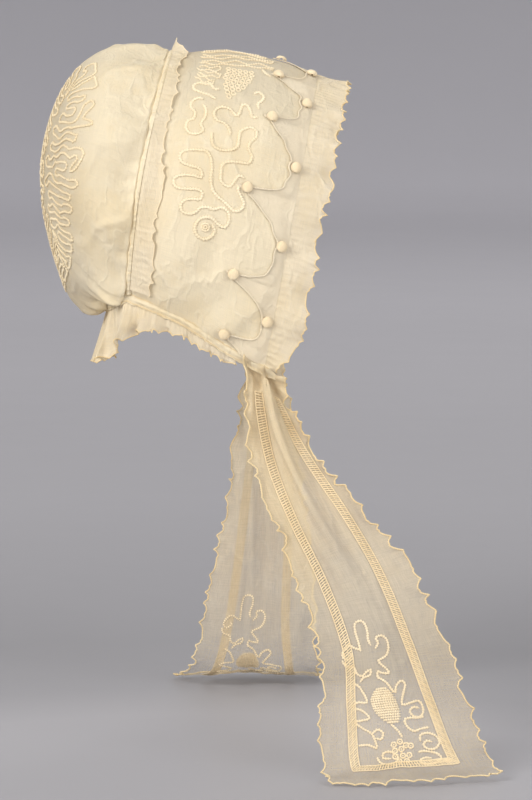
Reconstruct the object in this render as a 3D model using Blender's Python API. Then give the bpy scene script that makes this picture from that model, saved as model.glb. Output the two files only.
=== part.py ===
"""A sheer muslin nightcap in the form that it has on a head: a gathered crown, a smooth front
with a pointed facing, a drawn neck edge with a frill, and two long lappets.

Metres, +Z up. +X points to the face and -Y to the wearer's right. The origin is the top of the head,
just under the cloth. Tables hold shares of the named sizes that their pieces follow.
"""

import math
from collections import namedtuple

import bmesh
import bpy
from mathutils import Matrix, Vector

MM = 0.001
UP = Vector((0, 0, 1))
FORWARD = Vector((1, 0, 0))

# Cloth, cords and the clearance between neighbours
CLOTH = 1.0 * MM
CLEARANCE = 0.35 * MM
SEAM_CORD_RADIUS = 1.5 * MM
NECK_CASING_RADIUS = 2.2 * MM

# The cap's own sizes
CAP_HEIGHT = 174 * MM
HALF_WIDTH = 77 * MM
SEAM_SETBACK = 21 * MM
PANEL_LENGTH = 82 * MM
CROWN_LENGTH = 77 * MM
NAPE_DEPTH = 14 * MM
SEAM_BOW = 3.5 * MM
PANEL_DENT = 4.0 * MM
CROWN_FOLD = 3.4 * MM

# Frills and their pointed edges
TOOTH_PITCH = 15 * MM
TOOTH_DEPTH = 4.5 * MM
FRONT_FRILL_WIDTH = 20 * MM
FRONT_FRILL_WAVE = 1.8 * MM
SEAM_FRILL_WIDTH = 12 * MM
SEAM_FRILL_WAVE = 1.2 * MM
NECK_FRILL_WIDTH = 31 * MM
NECK_FRILL_WAVE = 6.0 * MM

# Facing with its padded dots
FACING_DEPTH = 25 * MM
DOT_RADIUS = 3.2 * MM
DOT_HEIGHT = 2.6 * MM
FACING_LIFT = CLOTH + 2 * CLEARANCE

# Lappets
LAPPET_LENGTH = 247 * MM
LAPPET_WIDTH = 95 * MM
LAPPET_TOP_WIDTH = 26 * MM
LAPPET_BORDER = 18 * MM
INSERTION_WIDTH = 4.5 * MM
PLEAT_DEPTH = 4.2 * MM
END_BOW = 9 * MM

# Facets
ARCH_STEPS = 32
PANEL_STEPS = 10
NAPE_STEPS = 14
LAPPET_TEETH = 15

PanelRow = namedtuple("PanelRow", "share top_x top_z low_x low_z width low_width")
# share runs from the seam to the hem; x is in PANEL_LENGTH, z in CAP_HEIGHT, widths in HALF_WIDTH
PANEL = (
    PanelRow(0.00, 0.00, 0.000, -0.28, -0.770, 0.94, 0.76),
    PanelRow(0.35, 0.35, 0.009, 0.07, -0.840, 1.00, 0.82),
    PanelRow(0.70, 0.70, -0.023, 0.38, -0.934, 0.98, 0.85),
    PanelRow(1.00, 1.00, -0.069, 0.63, -1.000, 0.92, 0.85),
)

DentRow = namedtuple("DentRow", "along down spread_along spread_down height")
# A soft hollow or swell of the panel, alike on both sides; height is in PANEL_DENT
DENTS = (
    DentRow(0.12, 0.50, 0.07, 0.30, -0.70),
    DentRow(0.28, 0.86, 0.13, 0.13, 0.60),
    DentRow(0.54, 0.80, 0.10, 0.18, -0.35),
    DentRow(0.72, 0.40, 0.12, 0.14, 0.35),
    DentRow(0.45, 0.20, 0.10, 0.12, -0.30),
)

CrownRow = namedtuple("CrownRow", "share top_x top_z low_x low_z width")
# share runs from the seam to the middle of the back; x is in CROWN_LENGTH behind the seam, the rest as above
CROWN = (
    CrownRow(0.00, 0.000, 0.000, -0.468, -0.816, 0.93),
    CrownRow(0.15, -0.156, 0.016, -0.571, -0.835, 0.99),
    CrownRow(0.30, -0.312, 0.024, -0.662, -0.828, 1.00),
    CrownRow(0.45, -0.485, 0.010, -0.740, -0.800, 0.96),
    CrownRow(0.60, -0.640, -0.030, -0.795, -0.754, 0.87),
    CrownRow(0.72, -0.745, -0.080, -0.840, -0.694, 0.74),
    CrownRow(0.84, -0.850, -0.158, -0.895, -0.600, 0.54),
    CrownRow(0.93, -0.925, -0.250, -0.940, -0.504, 0.31),
    CrownRow(1.00, -0.968, -0.374, -0.968, -0.374, 0.00),
)
ARCH_PART = 0.72  # share of the crown's half rim that lies on the seam; the rest lies on the nape
CROWN_RINGS = (0.0, 0.05, 0.12, 0.21, 0.32, 0.44, 0.56, 0.68, 0.79, 0.89, 0.96)
CROWN_FOLDS = 11

FrillRow = namedtuple("FrillRow", "share width wave lean")
# share runs from the front end of the neck frill to the nape; width and wave are in the frill's own
# sizes, and lean turns it from straight down to outwards, in degrees
NECK_FRILL = (
    FrillRow(0.00, 0.30, 0.10, 12),
    FrillRow(0.35, 0.36, 0.20, 25),
    FrillRow(0.62, 0.50, 0.40, 28),
    FrillRow(0.80, 0.85, 0.85, 16),
    FrillRow(1.00, 1.00, 1.00, 6),
)
NECK_FLUTES = 13

INNER_DOTS = (0.0, 0.19, 0.38, 0.585, 0.80, 0.955)
OUTER_DOTS = (0.095, 0.285, 0.50, 0.70, 0.88)

LappetRow = namedtuple("LappetRow", "share x out z width pleat back front")
# The middle line from where the lappet is sewn on, in LAPPET_LENGTH, with its spread in LAPPET_WIDTH and,
# in LAPPET_BORDER, how much of the border outside each insertion shows: the rest is folded in
RIGHT_LAPPET = (
    LappetRow(0.000, 0.000, 0.000, 0.000, 0.27, 0.70, 0.40, 0.35),
    LappetRow(0.104, 0.020, 0.040, -0.094, 0.35, 1.00, 0.50, 0.36),
    LappetRow(0.206, 0.054, 0.081, -0.181, 0.44, 0.95, 0.56, 0.38),
    LappetRow(0.337, 0.112, 0.129, -0.288, 0.54, 0.75, 0.64, 0.45),
    LappetRow(0.504, 0.198, 0.190, -0.420, 0.70, 0.55, 0.80, 0.95),
    LappetRow(0.670, 0.257, 0.248, -0.564, 0.77, 0.40, 0.88, 1.10),
    LappetRow(0.793, 0.281, 0.295, -0.680, 0.87, 0.30, 0.90, 1.10),
    LappetRow(0.907, 0.304, 0.333, -0.795, 0.97, 0.16, 0.96, 1.05),
    LappetRow(1.000, 0.329, 0.415, -0.822, 1.00, 0.08, 1.00, 1.00),
)
LEFT_LAPPET = (
    LappetRow(0.000, 0.000, 0.000, 0.000, 0.27, 0.70, 0.40, 0.35),
    LappetRow(0.104, 0.004, 0.017, -0.101, 0.35, 1.00, 0.50, 0.36),
    LappetRow(0.206, 0.006, 0.033, -0.202, 0.43, 0.95, 0.56, 0.40),
    LappetRow(0.337, 0.005, 0.050, -0.330, 0.53, 0.80, 0.64, 0.52),
    LappetRow(0.504, -0.002, 0.069, -0.496, 0.66, 0.65, 0.80, 0.80),
    LappetRow(0.670, -0.012, 0.089, -0.659, 0.76, 0.50, 0.88, 1.00),
    LappetRow(0.793, -0.022, 0.128, -0.774, 0.86, 0.35, 0.90, 1.00),
    LappetRow(0.907, -0.035, 0.220, -0.812, 0.96, 0.18, 0.96, 1.00),
    LappetRow(1.000, -0.045, 0.312, -0.822, 1.00, 0.08, 1.00, 1.00),
)

FinishRow = namedtuple("FinishRow", "colour roughness")
MUSLIN = FinishRow((0.86, 0.77, 0.58), 0.85)
CORD = FinishRow((0.88, 0.78, 0.56), 0.75)
STITCHED = FinishRow((0.90, 0.80, 0.60), 0.65)


def smooth(t):
    """Rises from 0 to 1 with level ends."""
    t = min(max(t, 0.0), 1.0)
    return t * t * (3 - 2 * t)


def row_at(rows, share):
    """A table's row at any share, on a smooth curve through its rows."""
    last = len(rows) - 1
    i = min(max(sum(row.share <= share for row in rows) - 1, 0), last - 1)
    here, after = rows[i], rows[i + 1]
    before, beyond = rows[max(i - 1, 0)], rows[min(i + 2, last)]
    span = after.share - here.share
    t = (share - here.share) / span
    values = []
    for k in range(len(here)):
        leave = (after[k] - before[k]) / (after.share - before.share) * span
        arrive = (beyond[k] - here[k]) / (beyond.share - here.share) * span
        values.append(
            here[k] * (1 + 2 * t) * (1 - t) ** 2
            + leave * t * (1 - t) ** 2
            + after[k] * t * t * (3 - 2 * t)
            - arrive * t * t * (1 - t)
        )
    return type(here)(*values)


def spread(count, start=-1.0, end=1.0):
    """Evenly spaced values, both ends included, in count steps."""
    return [start + (end - start) * k / count for k in range(count + 1)]


def panel_plain(along, down):
    """The front panel's surface with no dents: along from seam to hem, down from -1, the lower right
    edge, over the top at 0 to 1, the lower left edge."""
    row = row_at(PANEL, along)
    half_angle = math.pi - math.asin(row.low_width / row.width)
    angle = abs(down) * half_angle
    fall = (1 - math.cos(angle)) / (1 - math.cos(half_angle))
    bow = SEAM_BOW * math.sin(math.pi * min(fall, 1)) * (1 - along)
    x = PANEL_LENGTH * (row.top_x + (row.low_x - row.top_x) * fall) - SEAM_SETBACK - bow
    y = math.copysign(HALF_WIDTH * row.width * math.sin(angle), down)
    z = CAP_HEIGHT * (row.top_z + (row.low_z - row.top_z) * fall)
    return Vector((x, y, z))


def panel_normal(along, down):
    """Points away from the head."""
    step = 0.004
    forwards = panel_plain(along + step, down) - panel_plain(along - step, down)
    leftwards = panel_plain(along, down + step) - panel_plain(along, down - step)
    return forwards.cross(leftwards).normalized()


def panel_point(along, down, lift=0.0):
    """A point of the dented panel, lifted off its middle surface."""
    height = lift
    for dent in DENTS:
        far = ((along - dent.along) / dent.spread_along) ** 2
        far += ((abs(down) - dent.down) / dent.spread_down) ** 2
        height += PANEL_DENT * dent.height * math.exp(-far) * smooth(along / 0.05)
    return panel_plain(along, down) + panel_normal(along, down) * height


def arch_length(along):
    """Half the length of the panel's arch, from the top to the neck edge."""
    points = [panel_plain(along, down) for down in spread(24, 0, 1)]
    return sum((b - a).length for a, b in zip(points, points[1:]))


def panel_reach(along):
    """How far down the panel goes, where its edge clears the neck casing."""
    return 1 - (NECK_CASING_RADIUS + CLEARANCE) / arch_length(along)


def nape_point(turn):
    """The drawn edge of the nape, from -1, the right end of the seam, to 1, the left end."""
    corner = panel_plain(0, 1)
    angle = turn * math.pi / 2
    back = math.cos(angle)
    drop = CAP_HEIGHT * (CROWN[0].low_z - PANEL[0].low_z)
    return Vector(
        (
            corner.x - NAPE_DEPTH * back**0.8,
            corner.y * math.sin(angle),
            corner.z + drop * back,
        )
    )


def rim_point(round_rim):
    """The crown's rim: 0 at the top, -1 and 1 at the middle of the nape."""
    if abs(round_rim) <= ARCH_PART:
        return panel_plain(0, round_rim / ARCH_PART)
    turn = (1 - abs(round_rim)) / (1 - ARCH_PART)
    return nape_point(math.copysign(turn, round_rim))


def crown_oval(round_rim, back):
    """The oval that the crown's section would be with no seam or nape to follow."""
    row = row_at(CROWN, back)
    top = Vector((row.top_x * CROWN_LENGTH, 0, row.top_z * CAP_HEIGHT))
    low = Vector((row.low_x * CROWN_LENGTH, 0, row.low_z * CAP_HEIGHT))
    angle = math.pi * round_rim
    point = (top + low) / 2 + (top - low) / 2 * math.cos(angle)
    point.y = row.width * HALF_WIDTH * math.sin(angle)
    point.x -= SEAM_SETBACK
    return point


def crown_plain(round_rim, back):
    oval = crown_oval(round_rim, back)
    stray = rim_point(round_rim) - crown_oval(round_rim, 0)
    return oval + stray * (1 - smooth(back / 0.5))


def crown_normal(round_rim, back):
    step = 0.004
    backwards = crown_plain(round_rim, back + step) - crown_plain(round_rim, back - step)
    around = crown_plain(round_rim + step, back) - crown_plain(round_rim - step, back)
    return around.cross(backwards).normalized()


def crown_point(round_rim, back):
    """A point of the crown, with the soft folds that fan out from the gathered seam."""
    gather = (back / 0.14 * math.exp(1 - back / 0.14)) ** 2
    fold = math.cos(math.pi * CROWN_FOLDS * round_rim + 1.2 * back) - 0.5
    point = crown_plain(round_rim, back)
    return point + crown_normal(round_rim, back) * CROWN_FOLD * gather * fold


def material(name, finish):
    made = bpy.data.materials.new(name)
    made.use_nodes = True
    shader = made.node_tree.nodes["Principled BSDF"]
    shader.inputs["Base Color"].default_value = (*finish.colour, 1)
    shader.inputs["Roughness"].default_value = finish.roughness
    shader.inputs["Metallic"].default_value = 0
    return made


def add_object(name, data, finish):
    made = bpy.data.objects.new(name, data)
    bpy.context.scene.collection.objects.link(made)
    data.materials.append(finish)
    return made


def cloth(name, rows, finish, closed=False, tip=None):
    """A wall of cloth through rows of points; closed joins each row's ends, and tip closes the last row."""
    shape = bmesh.new()
    grid = [[shape.verts.new(point) for point in row] for row in rows]
    count = len(grid[0])
    last = count if closed else count - 1
    for row, following in zip(grid, grid[1:]):
        for k in range(last):
            n = (k + 1) % count
            shape.faces.new((row[k], row[n], following[n], following[k]))
    if tip is not None:
        centre = shape.verts.new(tip)
        for k in range(last):
            shape.faces.new((grid[-1][k], grid[-1][(k + 1) % count], centre))
    mesh = bpy.data.meshes.new(name)
    shape.to_mesh(mesh)
    shape.free()
    mesh.shade_smooth()
    made = add_object(name, mesh, finish)
    wall = made.modifiers.new("Wall", "SOLIDIFY")
    wall.thickness = CLOTH
    wall.offset = 0
    wall.use_even_offset = True
    return made


def cord(name, points, radius, finish):
    """A round cord or casing along the points."""
    curve = bpy.data.curves.new(name, "CURVE")
    curve.dimensions = "3D"
    curve.bevel_depth = radius
    curve.bevel_resolution = 1
    curve.use_fill_caps = True
    line = curve.splines.new("POLY")
    line.points.add(len(points) - 1)
    for place, point in zip(line.points, points):
        place.co = (*point, 1)
    return add_object(name, curve, finish)


def seam_points():
    """The cord in the seam between crown and panel, from neck casing to neck casing."""
    reach = 1 - (NECK_CASING_RADIUS + SEAM_CORD_RADIUS * 0.2 + CLEARANCE) / arch_length(0)
    return [panel_plain(0, down * reach) for down in spread(ARCH_STEPS)]


def neck_points():
    """The neck casing's middle line: forward of each lower corner, along the panel and round the nape."""
    corner = panel_plain(1, -1)
    ahead = (corner - panel_plain(0.9, -1)).normalized()
    right = [corner + ahead * LAPPET_TOP_WIDTH * 0.35]
    right += [panel_plain(along, -1) for along in spread(PANEL_STEPS, 1, 0)]
    nape = [nape_point(turn) for turn in spread(NAPE_STEPS)][1:-1]
    left = [Vector((p.x, -p.y, p.z)) for p in reversed(right)]
    return right + nape + left


def make_panel(finish):
    rows = []
    for along in spread(PANEL_STEPS, 0, 1):
        reach = panel_reach(along)
        rows.append([])
        for down in spread(ARCH_STEPS):
            inset = (SEAM_CORD_RADIUS + CLEARANCE) / PANEL_LENGTH * (1 - smooth(along / 0.3))
            rows[-1].append(panel_point(along + inset, down * reach))
    return cloth("front_panel", rows, finish)


def make_crown(finish):
    """The crown's first ring clears the seam cord and the neck casing."""
    corner_reach = ARCH_PART * panel_reach(0)
    rims = [corner_reach * down for down in spread(ARCH_STEPS)]
    for turn in reversed(spread(NAPE_STEPS)[1:-1]):
        rims.append(math.copysign(1 - abs(turn) * (1 - ARCH_PART), turn))
    rows = []
    for back in CROWN_RINGS:
        rows.append([])
        for rim in rims:
            point = crown_point(rim, back)
            if back == 0:
                onwards = (crown_point(rim, CROWN_RINGS[1]) - point).normalized()
                near_casing = abs(rim) > ARCH_PART * 0.9
                radius = NECK_CASING_RADIUS + CLEARANCE if near_casing else SEAM_CORD_RADIUS
                point += onwards * (radius + CLEARANCE)
            rows[-1].append(point)
    return cloth("crown", rows, finish, closed=True, tip=crown_point(0, 1))


def tip_depth(dot):
    """How far a point of the facing reaches in from the hem; the lower ones are longer."""
    return FACING_DEPTH * (1 + 0.24 * smooth((dot - 0.38) / 0.2))


def facing_depth_at(down):
    """How far the facing reaches in from the hem: far at each inner dot and least at each outer dot."""
    inner = min(INNER_DOTS, key=lambda dot: abs(abs(down) - dot))
    outer = min(OUTER_DOTS, key=lambda dot: abs(abs(down) - dot))
    share = abs(abs(down) - inner) / max(abs(outer - inner), 1e-6)
    least = 2 * DOT_RADIUS
    return least + (tip_depth(inner) - least) * max(1 - share, 0) ** 2.4


def facing_columns():
    """Places down the arch where the facing turns: each dot and two between."""
    turns = sorted({side * dot for dot in INNER_DOTS + OUTER_DOTS for side in (-1, 1)})
    turns = [-panel_reach(1), *turns, panel_reach(1)]
    columns = []
    for a, b in zip(turns, turns[1:]):
        columns += [a + (b - a) * k / 3 for k in range(3)]
    return [*columns, turns[-1]]


def make_facing(finish):
    columns = facing_columns()
    rows = []
    for share in spread(3, 0, 1):
        rows.append([])
        for down in columns:
            depth = facing_depth_at(down) / PANEL_LENGTH * (1 - share)
            rows[-1].append(panel_point(1 - depth, down, FACING_LIFT))
    return cloth("front_facing", rows, finish)


def make_dots(finish):
    """Padded dots at the tips and between the points of the facing."""
    places = [(1 - (tip_depth(dot) - DOT_RADIUS * 1.3) / PANEL_LENGTH, dot) for dot in INNER_DOTS]
    places += [(1 - DOT_RADIUS * 1.05 / PANEL_LENGTH, dot) for dot in OUTER_DOTS]
    number = 0
    for along, dot in places:
        for side in (-1, 1) if dot else (1,):
            number += 1
            down = side * dot
            lift = FACING_LIFT + (CLOTH + DOT_HEIGHT) / 2 + CLEARANCE
            shape = bmesh.new()
            bmesh.ops.create_uvsphere(shape, u_segments=8, v_segments=4, radius=1)
            normal = panel_normal(along, down)
            size = Matrix.Diagonal((DOT_RADIUS, DOT_RADIUS, DOT_HEIGHT / 2, 1))
            turn = normal.to_track_quat("Z", "Y").to_matrix().to_4x4()
            place = Matrix.Translation(panel_point(along, down, lift))
            bmesh.ops.transform(shape, matrix=place @ turn @ size, verts=shape.verts)
            mesh = bpy.data.meshes.new(f"dot_{number:02d}")
            shape.to_mesh(mesh)
            shape.free()
            mesh.shade_smooth()
            add_object(f"dot_{number:02d}", mesh, finish)


def tooth(k):
    """What a pointed edge loses at its k-th half pitch: nothing at a point, all of the depth between."""
    return TOOTH_DEPTH * (1 - abs(k % 2 - 1))


def make_front_frill(finish):
    """The border before the hem, with a pointed edge and a light flutter."""
    half_teeth = 2 * round(arch_length(1) / TOOTH_PITCH)
    reach = panel_reach(1)
    rows = [[], [], []]
    for k, down in enumerate(spread(2 * half_teeth)):
        down *= reach
        start = panel_plain(1, down)
        normal = panel_normal(1, down)
        ahead = (start - panel_plain(0.97, down)).normalized()
        wave = FRONT_FRILL_WAVE * math.sin(2.7 * math.pi * k / 4)
        narrow = 0.55 + 0.45 * smooth((reach - abs(down)) / 0.12)
        width = FRONT_FRILL_WIDTH * narrow
        rows[0].append(start + ahead * CLEARANCE)
        rows[1].append(start + ahead * width * 0.5 + normal * wave * 0.6)
        rows[2].append(start + ahead * (width - tooth(k)) + normal * wave)
    return cloth("front_frill", rows, finish)


def make_seam_frill(finish):
    """The frill sewn in with the seam. It lies forward on the panel and stands up at the top."""
    half_teeth = 2 * round(arch_length(0) / TOOTH_PITCH)
    reach = 1 - 3.2 * NECK_CASING_RADIUS / arch_length(0)
    base_lift = SEAM_CORD_RADIUS + CLEARANCE + CLOTH / 2
    rows = [[], [], []]
    for k, down in enumerate(spread(2 * half_teeth)):
        down *= reach
        stand = 1 - smooth(abs(down) / 0.16)
        wave = SEAM_FRILL_WAVE * (1 + math.sin(1.9 * k))
        base = panel_plain(0, down) + panel_normal(0, down) * base_lift
        rows[0].append(base)
        for row, share, loss in ((1, 0.5, 0), (2, 1.0, tooth(k))):
            flat = (SEAM_FRILL_WIDTH * share - loss) / PANEL_LENGTH
            lying = panel_point(flat, down, base_lift + share * wave)
            standing = base + (UP + FORWARD * 0.25).normalized() * (SEAM_FRILL_WIDTH * 0.55 * share - loss * 0.5)
            rows[row].append(lying.lerp(standing, stand))
    return cloth("seam_frill", rows, finish)


def neck_path(share):
    """The neck edge from the right lappet's back edge, 0, to the left one's, 1, and how far it is from
    an end to the nape."""
    stop = 1 - LAPPET_TOP_WIDTH * 0.72 / PANEL_LENGTH
    side_part = 0.62
    half = 1 - abs(1 - 2 * share)
    if half < side_part:
        point = panel_plain(stop * (1 - half / side_part), -1)
    else:
        point = nape_point(-1 + (half - side_part) / (1 - side_part))
    if share > 0.5:
        point.y = -point.y
    return point, half


def make_neck_frill(finish):
    """The frill below the neck casing: narrow and close beside the face, full and fluted at the nape."""
    steps = 4 * NECK_FLUTES
    middle = Vector((panel_plain(0, 1).x * 0.4, 0, 0))
    rows = [[], [], []]
    for k, share in enumerate(spread(steps, 0, 1)):
        point, half = neck_path(share)
        row = row_at(NECK_FRILL, half)
        out = Vector((point.x - middle.x, point.y, 0)).normalized()
        lean = math.radians(row.lean)
        fall = out * math.sin(lean) - UP * math.cos(lean)
        width = NECK_FRILL_WIDTH * row.width
        wave = NECK_FRILL_WAVE * row.wave * math.sin(math.pi * k / 2 + 0.6)
        start = point - UP * (NECK_CASING_RADIUS + 2 * CLEARANCE)
        rows[0].append(start)
        rows[1].append(start + fall * width * 0.5 + out * wave * 0.55)
        rows[2].append(start + fall * (width - tooth(k)) + out * wave)
    return cloth("neck_frill", rows, finish)


def insertion_edges():
    """Where an insertion's outer and inner edges are across a lappet, from 0, the middle, to 1, the side."""
    outer = 1 - 2 * LAPPET_BORDER / LAPPET_WIDTH
    return outer, outer - 2 * INSERTION_WIDTH / LAPPET_WIDTH


def lappet_columns():
    """Places across a lappet, from its back edge, -1, to its front edge, 1."""
    outer, inner = insertion_edges()
    right = [inner / 2, inner, outer, (1 + outer) / 2, 1]
    return [-c for c in reversed(right)] + [0] + right


def spread_across(row, across):
    """Where a place across the flat lappet lies on the folded one, as a share of its half width there."""
    half = row.width * LAPPET_WIDTH / 2
    border = LAPPET_BORDER * (row.front if across > 0 else row.back)
    outer, inner = insertion_edges()
    flat = (0, inner, outer, 1, 2)
    folded = (0, 1 - (border + INSERTION_WIDTH) / half, 1 - border / half, 1, 2)
    place = abs(across)
    k = max(n for n in range(4) if flat[n] <= place)
    share = folded[k] + (folded[k + 1] - folded[k]) * (place - flat[k]) / (flat[k + 1] - flat[k])
    return math.copysign(share, across)


def lappet_plain(table, side, across, along):
    """A point of a lappet's middle surface."""
    row = row_at(table, along)
    near = row_at(table, along - 0.01)
    far = row_at(table, along + 0.01)
    corner = panel_plain(1, side)
    root = corner - UP * (NECK_CASING_RADIUS + CLEARANCE + CLOTH)
    path = Vector((row.x, side * row.out, row.z)) * LAPPET_LENGTH
    run = Vector((far.x - near.x, side * (far.out - near.out), far.z - near.z)).normalized()
    casing_run = (corner - panel_plain(0.8, side)).normalized()
    hang = 1 - smooth(along / 0.1)
    wide = (FORWARD - run * run.x * 0.5).normalized().lerp(casing_run, hang).normalized()
    face = wide.cross(run).normalized() * side
    pleat = PLEAT_DEPTH * row.pleat * math.cos(2 * math.pi * across / sum(insertion_edges()))
    bow = Vector((0, -side * END_BOW * across**2 * smooth((along - 0.8) / 0.2), 0))
    return root + path + wide * spread_across(row, across) * row.width * LAPPET_WIDTH / 2 + face * pleat + bow


def lappet_point(table, side, across, along, lift):
    """A point lifted off a lappet's outer face."""
    point = lappet_plain(table, side, across, along)
    step = 0.02
    beside = lappet_plain(table, side, across + step, along) - lappet_plain(table, side, across - step, along)
    below = lappet_plain(table, side, across, along + step) - lappet_plain(table, side, across, along - step)
    return point + beside.cross(below).normalized() * side * lift


def lappet_crossing():
    """Where the insertion that crosses a lappet's end starts and stops along it."""
    steps = 2 * LAPPET_TEETH
    stop = round((1 - LAPPET_BORDER / LAPPET_LENGTH) * steps) / steps
    return stop - INSERTION_WIDTH / LAPPET_LENGTH, stop


def make_lappet(name, table, side, finish):
    columns = lappet_columns()
    steps = 2 * LAPPET_TEETH
    rows = []
    for along in sorted([*spread(steps, 0, 1), lappet_crossing()[0]]):
        rows.append([])
        for n, across in enumerate(columns):
            at_side = abs(across) == 1
            side_loss = tooth(along * steps) / (row_at(table, along).width * LAPPET_WIDTH / 2) if at_side else 0
            end_loss = tooth(n) / LAPPET_LENGTH if along == 1 else 0
            rows[-1].append(lappet_plain(table, side, across * (1 - side_loss), along - end_loss))
    return cloth(name, rows, finish)


def make_insertion(name, table, side, finish):
    """The drawn-thread band that runs down both sides of a lappet and across its end."""
    steps = 2 * LAPPET_TEETH
    start, stop = lappet_crossing()
    down = [along for along in spread(steps, 0, 1) if 0 < along < start]
    outer, inner = insertion_edges()
    middle = [c for c in lappet_columns() if abs(c) < inner]
    inside = [(-inner, along) for along in down] + [(c, start) for c in (-inner, *middle, inner)]
    inside += [(inner, along) for along in reversed(down)]
    outside = [(-outer, along) for along in down] + [(c, stop) for c in (-outer, *middle, outer)]
    outside += [(outer, along) for along in reversed(down)]
    lift = CLOTH + 2 * CLEARANCE
    rows = [[lappet_point(table, side, *place, lift) for place in line] for line in (inside, outside)]
    return cloth(name, rows, finish)


def main():
    for old in list(bpy.data.objects):
        bpy.data.objects.remove(old)
    muslin = material("muslin", MUSLIN)
    cording = material("cord", CORD)
    stitched = material("stitched", STITCHED)
    make_panel(muslin)
    make_crown(muslin)
    cord("seam_cord", seam_points(), SEAM_CORD_RADIUS, cording)
    cord("neck_casing", neck_points(), NECK_CASING_RADIUS, muslin)
    make_facing(muslin)
    make_dots(stitched)
    make_front_frill(muslin)
    make_seam_frill(muslin)
    make_neck_frill(muslin)
    make_lappet("lappet_right", RIGHT_LAPPET, -1, muslin)
    make_lappet("lappet_left", LEFT_LAPPET, 1, muslin)
    make_insertion("insertion_right", RIGHT_LAPPET, -1, stitched)
    make_insertion("insertion_left", LEFT_LAPPET, 1, stitched)


main()
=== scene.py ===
"""The looks of a sheer muslin nightcap in its worn form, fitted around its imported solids.

Metres, +Z up, +X to the face. Surfaces are the same functions of named sizes as in the part's source,
here worked out for whole grids at once, with gathers, wrinkles, whipped edges and embroidery on them.
"""

import math

import bpy
import numpy as np
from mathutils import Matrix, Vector


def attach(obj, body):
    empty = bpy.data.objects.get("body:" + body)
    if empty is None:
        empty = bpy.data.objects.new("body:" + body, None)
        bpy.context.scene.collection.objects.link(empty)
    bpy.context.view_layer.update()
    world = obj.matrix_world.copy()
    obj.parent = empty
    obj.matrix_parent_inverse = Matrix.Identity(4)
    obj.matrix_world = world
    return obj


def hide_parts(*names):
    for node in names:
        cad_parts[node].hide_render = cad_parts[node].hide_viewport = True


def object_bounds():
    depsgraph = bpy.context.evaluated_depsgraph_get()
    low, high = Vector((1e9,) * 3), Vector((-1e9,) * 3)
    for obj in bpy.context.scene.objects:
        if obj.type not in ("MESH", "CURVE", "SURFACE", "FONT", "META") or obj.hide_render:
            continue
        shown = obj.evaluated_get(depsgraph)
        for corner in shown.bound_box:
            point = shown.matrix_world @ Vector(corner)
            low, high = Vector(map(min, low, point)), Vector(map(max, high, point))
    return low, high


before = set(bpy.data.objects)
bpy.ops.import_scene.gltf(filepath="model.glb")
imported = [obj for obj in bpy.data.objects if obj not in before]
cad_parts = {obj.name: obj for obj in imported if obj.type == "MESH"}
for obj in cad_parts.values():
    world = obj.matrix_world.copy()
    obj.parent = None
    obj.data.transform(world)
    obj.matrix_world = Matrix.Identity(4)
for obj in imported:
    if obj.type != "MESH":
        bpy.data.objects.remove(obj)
cad_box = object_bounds()

MM = 0.001
UP = np.array((0.0, 0.0, 1.0))
FORWARD = np.array((1.0, 0.0, 0.0))

CLOTH = 1.0 * MM
CLEARANCE = 0.35 * MM
TINY = 1e-9
SEAM_CORD_RADIUS = 1.5 * MM
NECK_CASING_RADIUS = 2.2 * MM
CAP_HEIGHT = 174 * MM
HALF_WIDTH = 77 * MM
SEAM_SETBACK = 21 * MM
PANEL_LENGTH = 82 * MM
CROWN_LENGTH = 77 * MM
NAPE_DEPTH = 14 * MM
SEAM_BOW = 3.5 * MM
PANEL_DENT = 4.0 * MM
CROWN_FOLD = 3.4 * MM
FRONT_FRILL_WIDTH = 20 * MM
FRONT_FRILL_WAVE = 1.8 * MM
SEAM_FRILL_WIDTH = 12 * MM
SEAM_FRILL_WAVE = 1.2 * MM
NECK_FRILL_WIDTH = 31 * MM
NECK_FRILL_WAVE = 6.0 * MM
FACING_DEPTH = 25 * MM
DOT_RADIUS = 3.2 * MM
DOT_HEIGHT = 2.6 * MM
FACING_LIFT = CLOTH + 2 * CLEARANCE
LAPPET_LENGTH = 247 * MM
LAPPET_WIDTH = 95 * MM
LAPPET_TOP_WIDTH = 26 * MM
LAPPET_BORDER = 18 * MM
INSERTION_WIDTH = 4.5 * MM
PLEAT_DEPTH = 4.2 * MM
END_BOW = 9 * MM
ARCH_PART = 0.72
CROWN_FOLDS = 11

# Share of the way from the seam to the hem; x and z at the top, x and z at the foot;
# the widest half width and the half width at the foot
PANEL = np.array((
    (0.00, 0.00, 0.000, -0.28, -0.770, 0.94, 0.76),
    (0.35, 0.35, 0.009, 0.07, -0.840, 1.00, 0.82),
    (0.70, 0.70, -0.023, 0.38, -0.934, 0.98, 0.85),
    (1.00, 1.00, -0.069, 0.63, -1.000, 0.92, 0.85),
))
# Soft hollows and swells of the panel: where along and down it, how far they spread, their height
DENTS = (
    (0.12, 0.50, 0.07, 0.30, -0.70),
    (0.28, 0.86, 0.13, 0.13, 0.60),
    (0.54, 0.80, 0.10, 0.18, -0.35),
    (0.72, 0.40, 0.12, 0.14, 0.35),
    (0.45, 0.20, 0.10, 0.12, -0.30),
)
# Share of the way from the seam to the middle of the back; top x and z, foot x and z; half width
CROWN = np.array((
    (0.00, 0.000, 0.000, -0.468, -0.816, 0.93),
    (0.15, -0.156, 0.016, -0.571, -0.835, 0.99),
    (0.30, -0.312, 0.024, -0.662, -0.828, 1.00),
    (0.45, -0.485, 0.010, -0.740, -0.800, 0.96),
    (0.60, -0.640, -0.030, -0.795, -0.754, 0.87),
    (0.72, -0.745, -0.080, -0.840, -0.694, 0.74),
    (0.84, -0.850, -0.158, -0.895, -0.600, 0.54),
    (0.93, -0.925, -0.250, -0.940, -0.504, 0.31),
    (1.00, -0.968, -0.374, -0.968, -0.374, 0.00),
))
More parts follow.
